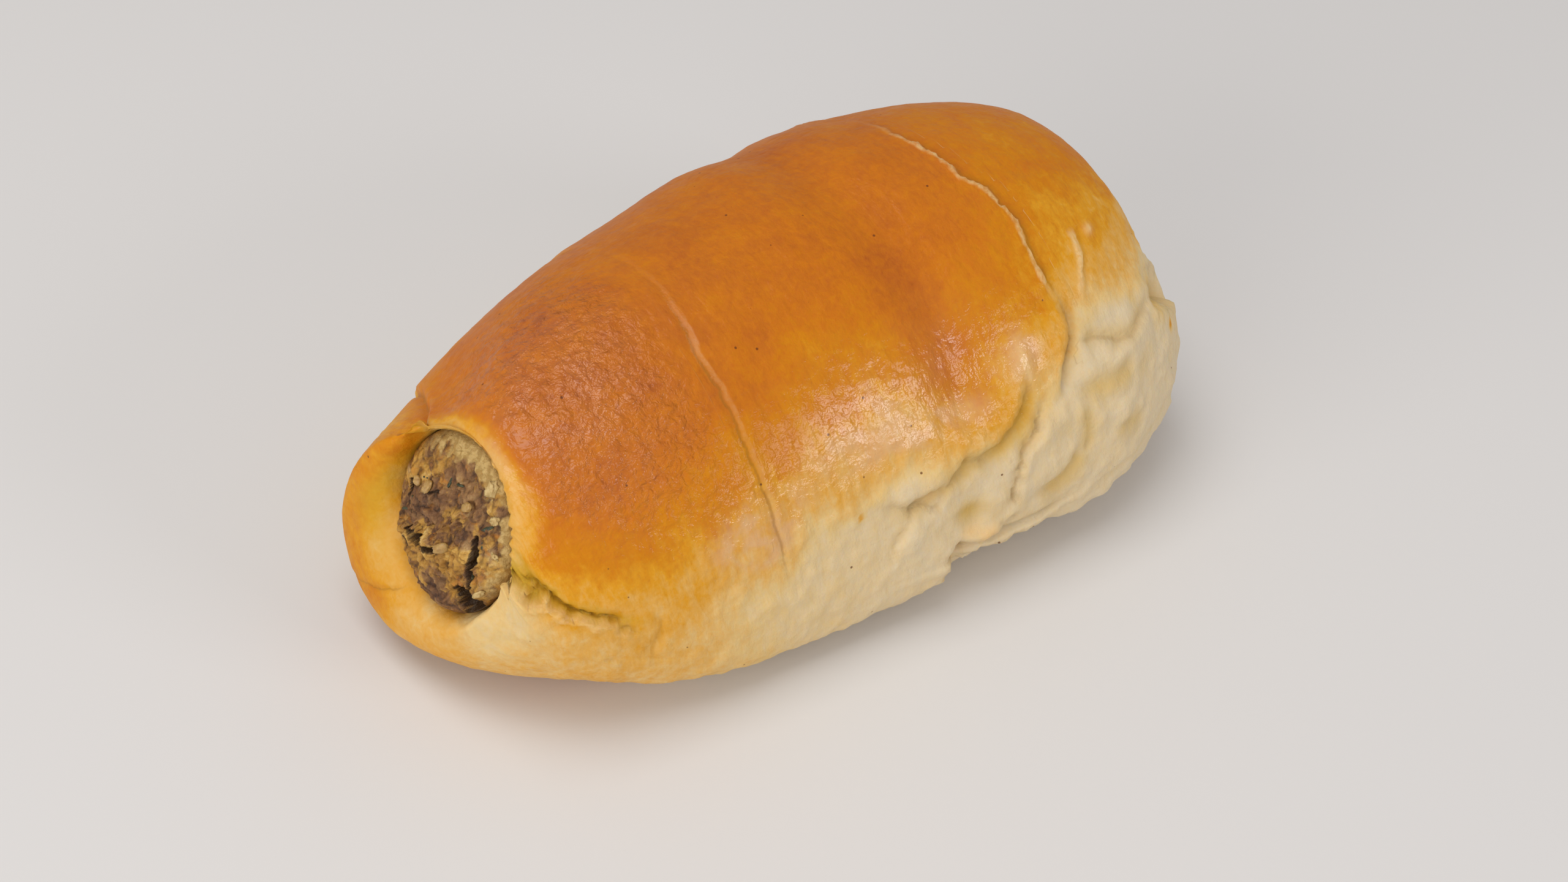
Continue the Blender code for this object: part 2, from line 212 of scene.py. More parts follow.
@dataclass(frozen=True)
class Place:
    """Where points lie on the skin and lips.

    Attributes:
        along: arc length from the middle ring in mm, below zero towards the near mouth.
        degrees: angle round the boudin, from -90 up to 270.
        girth: millimetres of skin a degree.
        rim: arc length outwards from the crest of the mouth on the point's half, in mm. Dough only.
        edge: arc length from the boudin's edge at that mouth, in mm. Dough only.
    """

    along: Array
    degrees: Array
    girth: Array
    rim: Array | None = None
    edge: Array | None = None

    def flat(self) -> Array:
        """Lay the skin out flat, as points in mm (along, round, 0)."""
        return np.stack([self.along, self.degrees * FLAT_GIRTH, np.zeros_like(self.along)], axis=-1)

    def between(self, low: float, high: float, soft: float) -> Array:
        """Share from 0 to 1 that a point lies between two angles, rising over soft degrees each way."""
        return smooth_step(low - soft, low + soft, self.degrees) * smooth_step(high + soft, high - soft, self.degrees)

    def from_route(self, route: Route) -> tuple[Array, Array]:
        """Measure the signed distance to a broken line on the skin.

        Args:
            route: corners of the line as (arc length in mm, degrees).

        Returns:
            Distance in mm, positive to the line's left, and the share of the line run.
        """
        nearest = np.full(self.along.shape, np.inf)
        side = np.ones(self.along.shape)
        share = np.zeros(self.along.shape)
        for index, (start, end) in enumerate(zip(route[:-1], route[1:])):
            run_along, run_up = end[0] - start[0], (end[1] - start[1]) * self.girth
            gap_along, gap_up = self.along - start[0], (self.degrees - start[1]) * self.girth
            part = (gap_along * run_along + gap_up * run_up) / (run_along ** 2 + run_up ** 2)
            part = np.clip(part, 0.0, 1.0)
            distance = np.hypot(gap_along - part * run_along, gap_up - part * run_up)
            closer = distance < nearest
            nearest = np.where(closer, distance, nearest)
            side = np.where(closer, np.sign(run_along * gap_up - run_up * gap_along), side)
            share = np.where(closer, (index + part) / (len(route) - 1), share)
        return nearest * side, share


@dataclass(frozen=True)
class Patch:
    """A stretch of skin with soft edges.

    Attributes:
        starts: arc lengths in mm over which its share rises.
        stops: arc lengths in mm over which it falls, the last one first.
        low: its first angle in degrees.
        high: its last angle in degrees.
        soft: degrees over which the share rises and falls at those angles, each way.
    """

    starts: tuple[float, float]
    stops: tuple[float, float]
    low: float
    high: float
    soft: float

    def share(self, place: Place) -> Array:
        """How far each place lies on the patch, from 0 to 1."""
        along = smooth_step(*self.starts, place.along) * smooth_step(*self.stops, place.along)
        return along * place.between(self.low, self.high, self.soft)


@dataclass(frozen=True)
class Trace:
    """What one fold does to the skin, point by point.

    Attributes:
        height: relief in mm.
        across: distance to its edge in half widths, above zero on the proud side.
        groove_shade: how strongly painted shade darkens its groove, from 0 to 1.
        olive_stain_and_shade: how strongly its hollow side is tinted yellow-green, as fat stain and painted shade,
            from 0 to 1.
        pale: how pale its proud edge is painted, from 0 to 1: unbaked dough, and on a bare ridge a painted highlight.
    """

    height: Array
    across: Array
    groove_shade: Array
    olive_stain_and_shade: Array
    pale: Array


@dataclass(frozen=True)
class Fold:
    """An edge of dough that stands proud to the left of its route, with a groove along it.

    Attributes:
        route: corners of the edge as (arc length in mm, degrees).
        height: how far the left side stands up, in mm.
        groove: depth of the groove in mm.
        width: half width of the step in mm.
        fall: length over which both sides die away, in mm.
        sink: how far the right side lies down, in mm.
        bead: height of a rounded bead along the proud edge, in mm.
        tapers: shares of the route over which the relief fades in and out.
        waver: how far the edge strays from its route, in mm.
        dark: how strongly painted shade darkens the groove, from 0 to 1.
        olive_stain_and_shade: how strongly the hollow side is tinted yellow-green, as fat stain and painted shade,
            from 0 to 1.
        pale: how pale the proud edge is painted, from 0 to 1: unbaked dough, and on a bare ridge a painted highlight.
    """

    route: Route
    height: float = 0.0
    groove: float = 0.0
    width: float = 0.8
    fall: float = 6.0
    sink: float = 0.0
    bead: float = 0.0
    tapers: tuple[float, float] = (0.3, 0.3)
    waver: float = 0.35
    dark: float = 0.0
    olive_stain_and_shade: float = 0.0
    pale: float = 0.0

    def trace(self, place: Place, stray: Array, ragged: Array) -> Trace:
        """Work out the fold: a step that dies away on both sides, a rounded groove and a bead.

        The step is a smooth rise across the edge. The groove is a bell curve half a width out
        on the hollow side, and the bead is one 1.1 widths in on the proud side.

        Args:
            place: where to take it.
            stray: smooth noise that the edge wavers by.
            ragged: fine noise that frays the edge and breaks up its bead.

        Returns:
            Relief, stains and painted shade.
        """
        distance, share = place.from_route(self.route)
        distance = distance + self.waver * (stray + 0.45 * ragged)
        present = smooth_step(0.0, self.tapers[0], share) * smooth_step(1.0, 1.0 - self.tapers[1], share)
        rise = smooth_step(-self.width, self.width, distance)
        proud = self.height * rise * np.exp(-np.maximum(distance, 0.0) / self.fall)
        sunk = self.sink * (1.0 - rise) * np.exp(np.minimum(distance, 0.0) / self.fall)
        groove = np.exp(-((distance + 0.5 * self.width) / self.width) ** 2)
        bead = np.exp(-((distance - 1.1 * self.width) / (0.9 * self.width)) ** 2) * (0.75 + 0.5 * ragged)
        across = distance / self.width
        # Painted shade of the groove and paint of the pale edge, out to five half widths each way
        beside = present * smooth_step(5.0, 3.0, np.abs(across))
        # Yellow-green tint of the hollow side: fat stain and painted shade
        hollow = np.exp(-((across + 1.2) / 2.0) ** 2)
        return Trace(present * (proud - sunk - self.groove * groove + self.bead * bead), across,
                     self.dark * beside, present * self.olive_stain_and_shade * hollow, self.pale * beside)


@dataclass(frozen=True)
class Spot:
    """A round patch on the skin that rises or sinks, is baked or stained, or carries painted shade or a painted
    highlight.

    Attributes:
        along: arc length of its middle in mm.
        degrees: angle of its middle.
        reach: half length along the roll in mm.
        amount: height in mm, or strength.
        tall: half length round the roll in mm, if it isn't round.
    """

    along: float
    degrees: float
    reach: float
    amount: float
    tall: float = 0.0

    def field(self, place: Place) -> Array:
        """Bell curve over the skin: the amount at each place.

        Args:
            place: where to take it.

        Returns:
            Height in mm, or strength.
        """
        tall = self.tall or self.reach
        gap_along = (place.along - self.along) / self.reach
        gap_up = (place.degrees - self.degrees) * place.girth / tall
        return self.amount * np.exp(-(gap_along ** 2 + gap_up ** 2))


@dataclass(frozen=True)
class Mouth:
    """Sizes of one open end. A crest is the ring where skin and lip meet.

    Attributes:
        crest_x: mean X of the crest in mm.
        crest_lean: how far the crest leans with height, in mm.
        crest_skew: how far it turns with Y, in mm.
        crest_radius: its radius at the flap, in mm.
        collar_extra: how much wider it is at the middle of the collar, in mm.
        collar_angle: angle of the collar's middle, in degrees.
        collar_sag: how far the collar's middle is carried along X, Y and Z, in mm.
        nose_power: how squarely the roll closes in on it.
        boudin_x: X of the link's face, in mm.
    """

    crest_x: float
    crest_lean: float
    crest_skew: float
    crest_radius: float
    collar_extra: float
    collar_angle: float
    collar_sag: tuple[float, float, float]
    nose_power: float
    boudin_x: float


@dataclass
class RollForm:
    """The plain loft of the dough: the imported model's sizes, but for a deeper margin of the lips.

    Attributes:
        width: width of the middle ring in mm.
        height: height of the middle ring in mm.
        widest_level: height at which the roll is widest, in mm.
        width_growth: share by which it widens over the growth length.
        height_growth: share by which it rises over the growth length.
        bow: how far the middle bows towards the back, in mm.
        growth_length: half length for growth and bow, in mm.
        side_power: exponent of the section from side to side.
        top_power: exponent of its upper half.
        bottom_power: exponent of its lower half.
        underside_cut: how far the section is cut off flat underneath, in mm.
        underside_tuck: how much sooner the underside closes in on a mouth.
        nose_roundness: how roundly the roll closes in on each mouth.
        collar_power: how quickly a collar narrows to both sides.
        boudin_radius: radius of the link, in mm.
        boudin_axis: Y and Z of the link's axis, in mm.
        boudin_lean: how far the link's faces lean with height, in mm.
        tunnel_gap: gap between dough and boudin, in mm.
        mouth_margin: how far a lip reaches in past the boudin's edge, in mm.
        plumpness: exponent of the lips, 2 for an ellipse and more for a fuller one.
        mouths: sizes of each end.
    """

    width: float = 80.7
    height: float = 54.8
    widest_level: float = 10.9
    width_growth: float = 0.247
    height_growth: float = 0.101
    bow: float = 6.85
    growth_length: float = 70.0
    side_power: float = 1.97
    top_power: float = 1.7
    bottom_power: float = 3.5
    underside_cut: float = 1.5
    underside_tuck: float = 0.4
    nose_roundness: float = 1.8
    collar_power: float = 2.6
    boudin_radius: float = 12.8
    boudin_axis: tuple[float, float] = (2.2, 29.2)
    boudin_lean: float = 4.4
    tunnel_gap: float = 0.3
    mouth_margin: float = 1.8
    plumpness: float = 2.7
    mouths: dict[End, Mouth] = field(default_factory=lambda: {
        End.NEAR: Mouth(crest_x=-60.4, crest_lean=6.3, crest_skew=2.8, crest_radius=14.0, collar_extra=5.8,
                        collar_angle=227.5, collar_sag=(2.6, 5.0, -4.6), nose_power=3.5, boudin_x=-56.4),
        End.FAR: Mouth(crest_x=66.6, crest_lean=-5.15, crest_skew=-1.5, crest_radius=15.0, collar_extra=5.5,
                       collar_angle=-20.0, collar_sag=(0.0, 0.0, 0.0), nose_power=2.33, boudin_x=61.0)})

    def ring(self, radius: Array | float, angle: Array) -> tuple[Array, Array]:
        """Y and Z of a ring of some radius in mm round the link's axis, at angles in radians."""
        return self.boudin_axis[0] - radius * np.cos(angle), self.boudin_axis[1] + radius * np.sin(angle)

    def crest(self, end: End, angle: Array) -> tuple[Array, Array, Array]:
        """Crest of a mouth: a leaning, skewed circle, with a fat collar on one side that sags.

        The collar is a raised cosine of the angle to a power. It adds to the radius and
        carries the crest along the sag.

        Args:
            end: which mouth.
            angle: angle round the boudin in radians.

        Returns:
            X, Y and Z in mm.
        """
        mouth = self.mouths[end]
        share = (0.5 + 0.5 * np.cos(angle - math.radians(mouth.collar_angle))) ** self.collar_power
        sag_x, sag_y, sag_z = mouth.collar_sag
        y, z = self.ring(mouth.crest_radius + mouth.collar_extra * share, angle)
        x = mouth.crest_x + mouth.crest_lean * np.sin(angle) + mouth.crest_skew * np.cos(angle) + sag_x * share
        return x, y + sag_y * share, z + sag_z * share

    def skin(self, station: Array, angle: Array) -> Array:
        """Outer skin: a superellipse section that shrinks to the crest ring at each end.

        What is left at a station is one less its bare size to the power of the nose, and of
        that the root whose degree is the roundness.

        Args:
            station: from -1 at the near crest to 1 at the far crest.
            angle: angle round the boudin in radians.

        Returns:
            Points in mm.
        """
        near = station < 0.0
        across, upward = -np.cos(angle), np.sin(angle)
        crests = zip(self.crest(End.NEAR, angle), self.crest(End.FAR, angle))
        crest_x, crest_y, crest_z = [np.where(near, first, second) for first, second in crests]
        x = np.abs(station) * crest_x
        nose = np.where(near, self.mouths[End.NEAR].nose_power, self.mouths[End.FAR].nose_power)
        nose = nose - self.underside_tuck * np.clip(-upward, 0.0, 1.0)
        fullness = np.clip(1.0 - np.abs(station) ** nose, 0.0, 1.0) ** (1.0 / self.nose_roundness)
        along = x / self.growth_length
        half_width = 0.5 * self.width * (1.0 + self.width_growth * along)
        height = self.height * (1.0 + self.height_growth * along)
        body_y = self.bow * (1.0 - along ** 2) + half_width * signed_power(across, 2.0 / self.side_power)
        rise = (height - self.widest_level) * np.clip(upward, 0.0, 1.0) ** (2.0 / self.top_power)
        drop = self.widest_level + self.underside_cut
        body_z = self.widest_level + rise - drop * np.clip(-upward, 0.0, 1.0) ** (2.0 / self.bottom_power)
        y = crest_y + (body_y - crest_y) * fullness
        z = crest_z + (body_z - crest_z) * fullness
        return np.stack([x, y, np.maximum(z, 0.0)], axis=-1)

    def lip(self, end: End, share: Array, angle: Array) -> Array:
        """Lip of a mouth: a plump quarter superellipse from the crest in to the boudin's edge.

        Args:
            end: which mouth.
            share: from 0 at the crest to 1 at the boudin's edge.
            angle: angle round the boudin in radians.

        Returns:
            Points in mm.
        """
        turn = 0.5 * np.pi * share
        lean = self.boudin_lean * np.sin(angle) + self.mouth_margin
        edge = (self.mouths[end].boudin_x - end.value * lean, *self.ring(self.boudin_radius + self.tunnel_gap, angle))
        depth = np.clip(np.cos(turn), 0.0, 1.0) ** (2.0 / self.plumpness)
        reach = 1.0 - np.sin(turn) ** (2.0 / self.plumpness)
        shares = (depth, reach, reach)
        return np.stack([low + (high - low) * part for low, high, part in zip(edge, self.crest(end, angle), shares)],
                        axis=-1)


def ring_normals(points: Array) -> Array:
    """Unit normals of rings that join up both ways: steps along crossed with steps round.

    Args:
        points: grid of points, rings along the first axis.

    Returns:
        Outward normals.
    """
    around = np.roll(points, -1, axis=1) - np.roll(points, 1, axis=1)
    along = np.roll(points, -1, axis=0) - np.roll(points, 1, axis=0)
    return unit(np.cross(along, around))


def bunched(low: float, high: float, count: int, density: Array, fine: Array) -> Array:
    """Spread numbers so that more lie where the density is high, by its running total.

    Args:
        low: first number.
        high: last number.
        count: how many numbers.
        density: density at each of the fine numbers.
        fine: evenly spaced numbers from low to high.

    Returns:
        The bunched numbers.
    """
    total = np.concatenate([[0.0], np.cumsum(0.5 * (density[1:] + density[:-1]))])
    spread = np.interp(np.linspace(0.0, total[-1], count), total, fine)
    spread[0], spread[-1] = low, high
    return spread


def strips(index: Array) -> Array:
    """Four-cornered faces between neighbouring rings, from a grid of corner numbers whose rings join up."""
    turned = np.roll(index, -1, axis=1)
    return np.stack([index[:-1], index[1:], turned[1:], turned[:-1]], axis=-1).reshape(-1, 4)


def caps(index: Array, first: int, last: int) -> Array:
    """Three-cornered faces from one point to the first ring, and from another to the last.

    Args:
        index: corner numbers, rings along the first axis.
        first: corner number of the point before the first ring.
        last: corner number of the point after the last ring.

    Returns:
        Three corner numbers a face.
    """
    turned = np.roll(index, -1, axis=1)
    opening = np.stack([np.full_like(index[0], first), index[0], turned[0]], axis=-1)
    return np.concatenate([opening, np.stack([np.full_like(index[0], last), turned[-1], index[-1]], axis=-1)])


def show(name: str, data: bpy.types.ID) -> bpy.types.Object:
    """Make an object and link it to the scene.

    Args:
        name: its name.
        data: its mesh, light or camera.

    Returns:
        The object.
    """
    thing = bpy.data.objects.new(name, data)
    bpy.context.scene.collection.objects.link(thing)
    return thing


def grid_mesh(name: str, points: Array, faces: list[list[int]]) -> bpy.types.Object:
    """Make an object from points in mm and corner numbers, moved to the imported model's place.

    Args:
        name: name of the object and mesh.
        points: points in mm, one row each.
        faces: three or four corner numbers a face.

    Returns:
        The new object, smooth shaded and linked to the scene.
    """
    mesh = bpy.data.meshes.new(name)
    mesh.from_pydata(((points - MIDDLE) * MILLIMETRE).tolist(), [], faces)
    mesh.update()
    mesh.shade_smooth()
    return show(name, mesh)


def dress(piece: bpy.types.Object, material: bpy.types.Material, node: str = "") -> bpy.types.Object:
    """Give a piece its material and body, and hide the CAD node that it stands for, if any.

    Args:
        piece: the object.
        material: its material.
        node: name of the CAD node that it replaces.

    Returns:
        The same object.
    """
    piece.data.materials.append(material)
    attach(piece, BODY)
    if node:
        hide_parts(node)
    return piece


# Sockets of Blender's mix node for its share, its two colours and what comes out, by number
SHARE_IN, FIRST_IN, SECOND_IN, BLEND_OUT = 0, 6, 7, 2


class Painted(Enum):
    """What a mesh is painted with: Blender's type, the field that holds it and the node's output."""

    NUMBER = ("FLOAT", "value", "Fac")
    VECTOR = ("FLOAT_VECTOR", "vector", "Vector")


def paint(piece: bpy.types.Object, name: str, values: Array, kind: Painted = Painted.NUMBER) -> None:
    """Give a mesh a number or vector a point for its material to read.

    Args:
        piece: the object.
        name: name of the attribute.
        values: one number a point, or three for a vector.
        kind: what they are.
    """
    blender_type, holder, _ = kind.value
    attribute = piece.data.attributes.new(name, blender_type, "POINT")
    attribute.data.foreach_set(holder, np.ascontiguousarray(values.ravel(), np.float32))


class Wiring:
    """A material's nodes, with a short way to add and join them."""

    def __init__(self, name: str) -> None:
        """Start a material with a Principled shader.

        Args:
            name: name of the material.
        """
        self.material = bpy.data.materials.new(name)
        self.material.use_nodes = True
        self.tree = self.material.node_tree
        self.shader = self.tree.nodes["Principled BSDF"]
        self.place = self.node("TexCoord", {}).outputs["Object"]

    def join(self, value: object, socket: Socket) -> None:
        """Link an output to a socket, or set the socket to a plain value.

        Args:
            value: an output socket, a number or a colour.
            socket: the input.
        """
        if isinstance(value, Socket):
            self.tree.links.new(value, socket)
        elif socket.type == "RGBA":
            socket.default_value = (*value, 1.0)
        else:
            socket.default_value = value

    def node(self, kind: str, inputs: dict[str | int, object], **settings: object) -> bpy.types.Node:
        """Add a node.

        Args:
            kind: Blender's name of it, without the words shader node.
            inputs: values or outputs by the input's name or number, None for an input that stays as it is.
            settings: the node's own settings.

        Returns:
            The node.
        """
        node = self.tree.nodes.new("ShaderNode" + kind)
        for name, value in settings.items():
            setattr(node, name, value)
        for name, value in inputs.items():
            if value is not None:
                self.join(value, node.inputs[name])
        return node

    def painted(self, name: str, kind: Painted = Painted.NUMBER) -> Socket:
        """Read the number or vector that a mesh is painted with under some name."""
        return self.node("Attribute", {}, attribute_name=name).outputs[kind.value[2]]

    def specks(self, cell: float, radius: float) -> Socket:
        """Scattered round specks: 1 within the radius of a random point in each cell, else 0, both in mm."""
        node = self.node("TexVoronoi", {"Scale": 1.0 / (cell * MILLIMETRE), "Vector": self.place})
        return self.spread(node.outputs["Distance"], radius / cell, 0.6 * radius / cell)

    def noise(self, size: float, detail: float = 2.0, rough: float = 0.5, distort: float = 0.0,
              squash: tuple[float, float, float] = (1.0, 1.0, 1.0), place: Socket | None = None) -> Socket:
        """Noise through the object.

        Args:
            size: width of the largest feature in mm.
            detail: number of finer layers.
            rough: strength of the finer layers.
            distort: how much the pattern is stirred.
            squash: how much the pattern is squeezed along each axis.
            place: the coordinates to use instead of the object's own.

        Returns:
            The noise, about 0.5 in the mean.
        """
        mapped = self.node("Mapping", {"Scale": squash, "Vector": place or self.place}).outputs["Vector"]
        numbers = {"Scale": 1.0 / (size * MILLIMETRE), "Detail": detail, "Roughness": rough, "Distortion": distort}
        return self.node("TexNoise", {**numbers, "Vector": mapped}).outputs["Fac"]

    def math(self, operation: str, first: object, second: object = 0.0, clamp: bool = False) -> Socket:
        """Work out one sum, by Blender's name of the operation, and hold it from 0 to 1 if it has to clamp."""
        return self.node("Math", {0: first, 1: second}, operation=operation, use_clamp=clamp).outputs[0]

    def times(self, *values: object) -> Socket:
        """Multiply numbers or outputs, from left to right."""
        return reduce(lambda first, second: self.math("MULTIPLY", first, second), values)

    def plus(self, *values: object) -> Socket:
        """Add numbers or outputs, from left to right."""
        return reduce(lambda first, second: self.math("ADD", first, second), values)

    def size_of(self, value: object, less: float = 0.0) -> Socket:
        """The bare size of a number, less another."""
        return self.math("ABSOLUTE", self.math("SUBTRACT", value, less))

    def stray(self, *pattern: object) -> Socket:
        """Noise less its mean, with the same arguments."""
        return self.math("SUBTRACT", self.noise(*pattern), 0.5)

    def spread(self, value: object, low: float, high: float, to_low: float = 0.0, to_high: float = 1.0) -> Socket:
        """Map the range from low to high on to another, smoothly and held at both ends."""
        ends = {"From Min": low, "From Max": high, "To Min": to_low, "To Max": to_high}
        return self.node("MapRange", {"Value": value, **ends}, interpolation_type="SMOOTHSTEP").outputs["Result"]

    def ramp(self, value: object, stops: Ramp) -> Socket:
        """Turn a number into a colour.

        Args:
            value: the number.
            stops: positions from 0 to 1 with their colours.

        Returns:
            The colour.
        """
        node = self.node("ValToRGB", {"Fac": value})
        elements = node.color_ramp.elements
        while len(elements) < len(stops):
            elements.new(1.0)
        for element, (position, colour) in zip(elements, stops):
            element.position, element.color = position, (*colour, 1.0)
        return node.outputs["Color"]

    def blend(self, share: object, first: object, second: object) -> Socket:
        """Blend two colours or outputs, by the share of the second from 0 to 1."""
        inputs = {SHARE_IN: share, FIRST_IN: first, SECOND_IN: second}
        return self.node("Mix", inputs, data_type="RGBA").outputs[BLEND_OUT]

    def bump(self, height: object, depth: float, below: object = None, strength: object = 1.0) -> Socket:
        """Tilt the normal below by a height from 0 to 1, of a depth in mm, and use that share of the tilt."""
        inputs = {"Distance": depth * MILLIMETRE, "Strength": strength, "Height": height, "Normal": below}
        return self.node("Bump", inputs).outputs["Normal"]

    def finish(self, **sockets: object) -> bpy.types.Material:
        """Set or link the shader's sockets.

        Args:
            sockets: values by socket name, with _ for a space.

        Returns:
            The material.
        """
        for name, value in sockets.items():
            self.join(value, self.shader.inputs[name.replace("_", " ")])
        return self.material


@dataclass(frozen=True)
class CrustFinish:
    """Sweet dough: pale where it was hidden from the oven, glazed brown on top.

    Attributes:
        bake: colours from unbaked to darkest, by how far the dough is browned.
        moist: colour of dough wet with the filling's fat.
        olive_stain_and_shade: yellow-green of fat that soaked in, also laid as painted shade on the hollow side of
            folds.
        crease_shade: painted shade at the bottom of a groove.
        pale_edge_and_highlight: colour of an edge that the oven left pale, also laid as a painted highlight on a bare
            ridge.
        speck: colour of the scattered burnt specks.
        highlight_colour: painted highlight, a pale pink-white laid over barely browned dough where the egg wash is
            thick.
    """

    bake: Ramp = shades(
        (0.00, 219, 199, 163), (0.15, 223, 190, 128), (0.30, 220, 168, 84), (0.45, 216, 150, 28),
        (0.60, 204, 126, 6), (0.75, 198, 112, 16), (0.90, 183, 97, 24), (1.00, 152, 72, 20))
    moist: Colour = from_screen(190, 170, 96)
    olive_stain_and_shade: Colour = from_screen(196, 154, 38)
    crease_shade: Colour = from_screen(146, 98, 30)
    pale_edge_and_highlight: Colour = from_screen(232, 192, 130)
    speck: Colour = from_screen(96, 46, 20)
    highlight_colour: Colour = from_screen(216, 172, 134)

    def material(self) -> bpy.types.Material:
        """Build the crust's nodes.

        Returns:
            The material.
        """
        w = Wiring("baked_sweet_dough")
        names = ("browned", "leather", "gloss", "skin", "across")
        browned, leather, gloss, skin, across = [w.painted(name) for name in names]
        lay = w.painted("lay", Painted.VECTOR)
        mottle, fleck = w.stray(8.0, 3.0, 0.55, 0.4), w.stray(1.3, 3.0, 0.6, 0.6)
        streak = w.times(w.stray(1.2, 3.0, 0.6, 0.3, (1.0, 0.28, 1.0), lay), skin,
                         w.spread(browned, 0.45, 0.75, 1.0, 0.35))
        stray = w.plus(w.times(mottle, 0.36), w.times(fleck, 0.26), w.times(streak, 0.32))
        tone = w.plus(browned, w.times(stray, w.spread(browned, 0.02, 0.4, 0.35, 1.0)))
        # Painted highlight: pale pink-white over barely browned dough where the egg wash is thick
        painted_highlight = w.times(w.spread(gloss, 0.35, 0.9, 0.0, 0.5), w.spread(browned, 0.62, 0.42),
                        w.spread(w.noise(5.0, 3.0, 0.6, 0.5), 0.40, 0.60, 0.15, 1.0))
        # Pale edges of seams, and a painted highlight on a bare ridge
        rim = w.times(w.spread(w.size_of(across, 1.0), 1.3, 0.3), w.painted("rim_pale_and_highlight"),
                      w.spread(fleck, -0.12, 0.10, 0.45, 1.0))
        # Painted shade along each groove: a thin dark line and a soft brown margin
        hollow = w.size_of(across, -0.45)
        line = w.plus(w.spread(hollow, 0.75, 0.1, 0.0, 0.75), w.spread(hollow, 2.6, 0.4, 0.0, 0.25))
        colour = w.ramp(tone, self.bake)
        for share, over in ((painted_highlight, self.highlight_colour), (w.painted("olive_stain_and_shade"), self.olive_stain_and_shade), (w.painted("moist"), self.moist),
                            (w.math("MAXIMUM", rim, w.painted("pale_and_highlight")), self.pale_edge_and_highlight),
                            (w.times(line, w.painted("groove_shade")), self.crease_shade),
                            (w.times(w.specks(4.6, 0.26), 0.8), self.speck)):
            colour = w.blend(share, colour, over)
        normal = w.bump(w.noise(1.7, 3.0, 0.55, 0.3), 1.0, strength=w.spread(leather, 0.0, 1.0, 0.2, 1.0))
        normal = w.bump(w.noise(2.6, 2.0, 0.5, 0.4), 0.42, normal, w.spread(leather, 0.0, 1.0, 0.45, 0.7))
        normal = w.bump(w.noise(1.3, 2.0, 0.5, 0.2, (1.0, 0.25, 1.0), lay), 0.12, normal, skin)
        normal = w.bump(w.noise(0.42, 2.0, 0.55, 0.2), 0.045, normal)
        rough = w.plus(w.spread(gloss, 0.0, 1.0, 0.62, 0.40), w.times(w.noise(3.0, 2.0), 0.10))
        coat = w.times(gloss, w.spread(w.noise(4.0, 2.0, 0.5, 0.5), 0.38, 0.62, 0.55, 1.0))
        return w.finish(Base_Color=colour, Roughness=rough, Normal=normal, Coat_Weight=coat, Coat_Roughness=0.12,
                        Coat_Normal=normal, Specular_IOR_Level=0.22, Specular_Tint=(1.0, 0.80, 0.55),
                        Subsurface_Weight=0.12, Subsurface_Radius=(1.0, 0.45, 0.12), Subsurface_Scale=0.002)


@dataclass(frozen=True)
class BoudinFinish:
    """Cooked pork, liver and rice, fused to one moist crumbly mass.

    Attributes:
        meat: colours of the dark meat by tone.
        crumb: colours of the ochre crumb by tone.
        gap: painted shade at the bottom of a crack and between crumbs.
        orange: colour of spiced fat.
        dough: colour of the torn dough that sticks to the rim.
        wet_dough: its colour where fat has soaked in.
    """

    meat: Ramp = shades((0.00, 80, 48, 30), (0.35, 118, 80, 48), (0.65, 146, 106, 64), (1.00, 172, 136, 90))
    crumb: Ramp = shades((0.00, 136, 90, 30), (0.40, 174, 126, 50), (0.75, 196, 150, 70), (1.00, 216, 180, 106))
    gap: Colour = from_screen(44, 25, 14)
    orange: Colour = from_screen(190, 120, 26)
    dough: Colour = from_screen(200, 168, 106)
    wet_dough: Colour = from_screen(168, 134, 74)

    def material(self) -> bpy.types.Material:
        """Build the filling's nodes.

        Returns:
            The material.
        """
        w = Wiring("boudin_crumble")
        tone = w.plus(w.painted("tone"), w.times(w.stray(0.55, 3.0, 0.65, 0.5), 0.8))
        tone = w.math("ADD", tone, w.times(w.stray(2.2, 3.0, 0.6, 0.6), 0.5), clamp=True)
        share = w.plus(w.painted("ochre"), w.times(w.stray(1.1, 3.0, 0.6, 0.6), 1.1))
        colour = w.blend(w.spread(share, 0.30, 0.72), w.ramp(tone, self.meat), w.ramp(tone, self.crumb))
        spiced = w.spread(w.noise(2.6, 2.0, 0.5, 0.8), 0.60, 0.72, 0.0, 0.55)
        soaked = w.blend(w.spread(w.noise(0.9, 3.0, 0.6, 0.5), 0.38, 0.62), self.dough, self.wet_dough)
        # The gap colour is painted shade in rifts and between crumbs
        for share, over in ((spiced, self.orange), (w.painted("doughy"), soaked), (w.painted("gap"), self.gap)):
            colour = w.blend(share, colour, over)
        normal = w.bump(w.noise(0.22, 2.0, 0.6), 0.07, w.bump(w.noise(0.7, 4.0, 0.7, 0.3), 0.30))
        rough = w.spread(w.noise(1.6, 2.0), 0.35, 0.65, 0.36, 0.66)
        return w.finish(Base_Color=colour, Roughness=rough, Normal=normal, Subsurface_Weight=0.10,
                        Subsurface_Radius=(1.0, 0.45, 0.2), Subsurface_Scale=0.001, Coat_Weight=0.18,
                        Coat_Roughness=0.22, Coat_Normal=normal, Specular_IOR_Level=0.3,
                        Specular_Tint=(1.0, 0.85, 0.65))


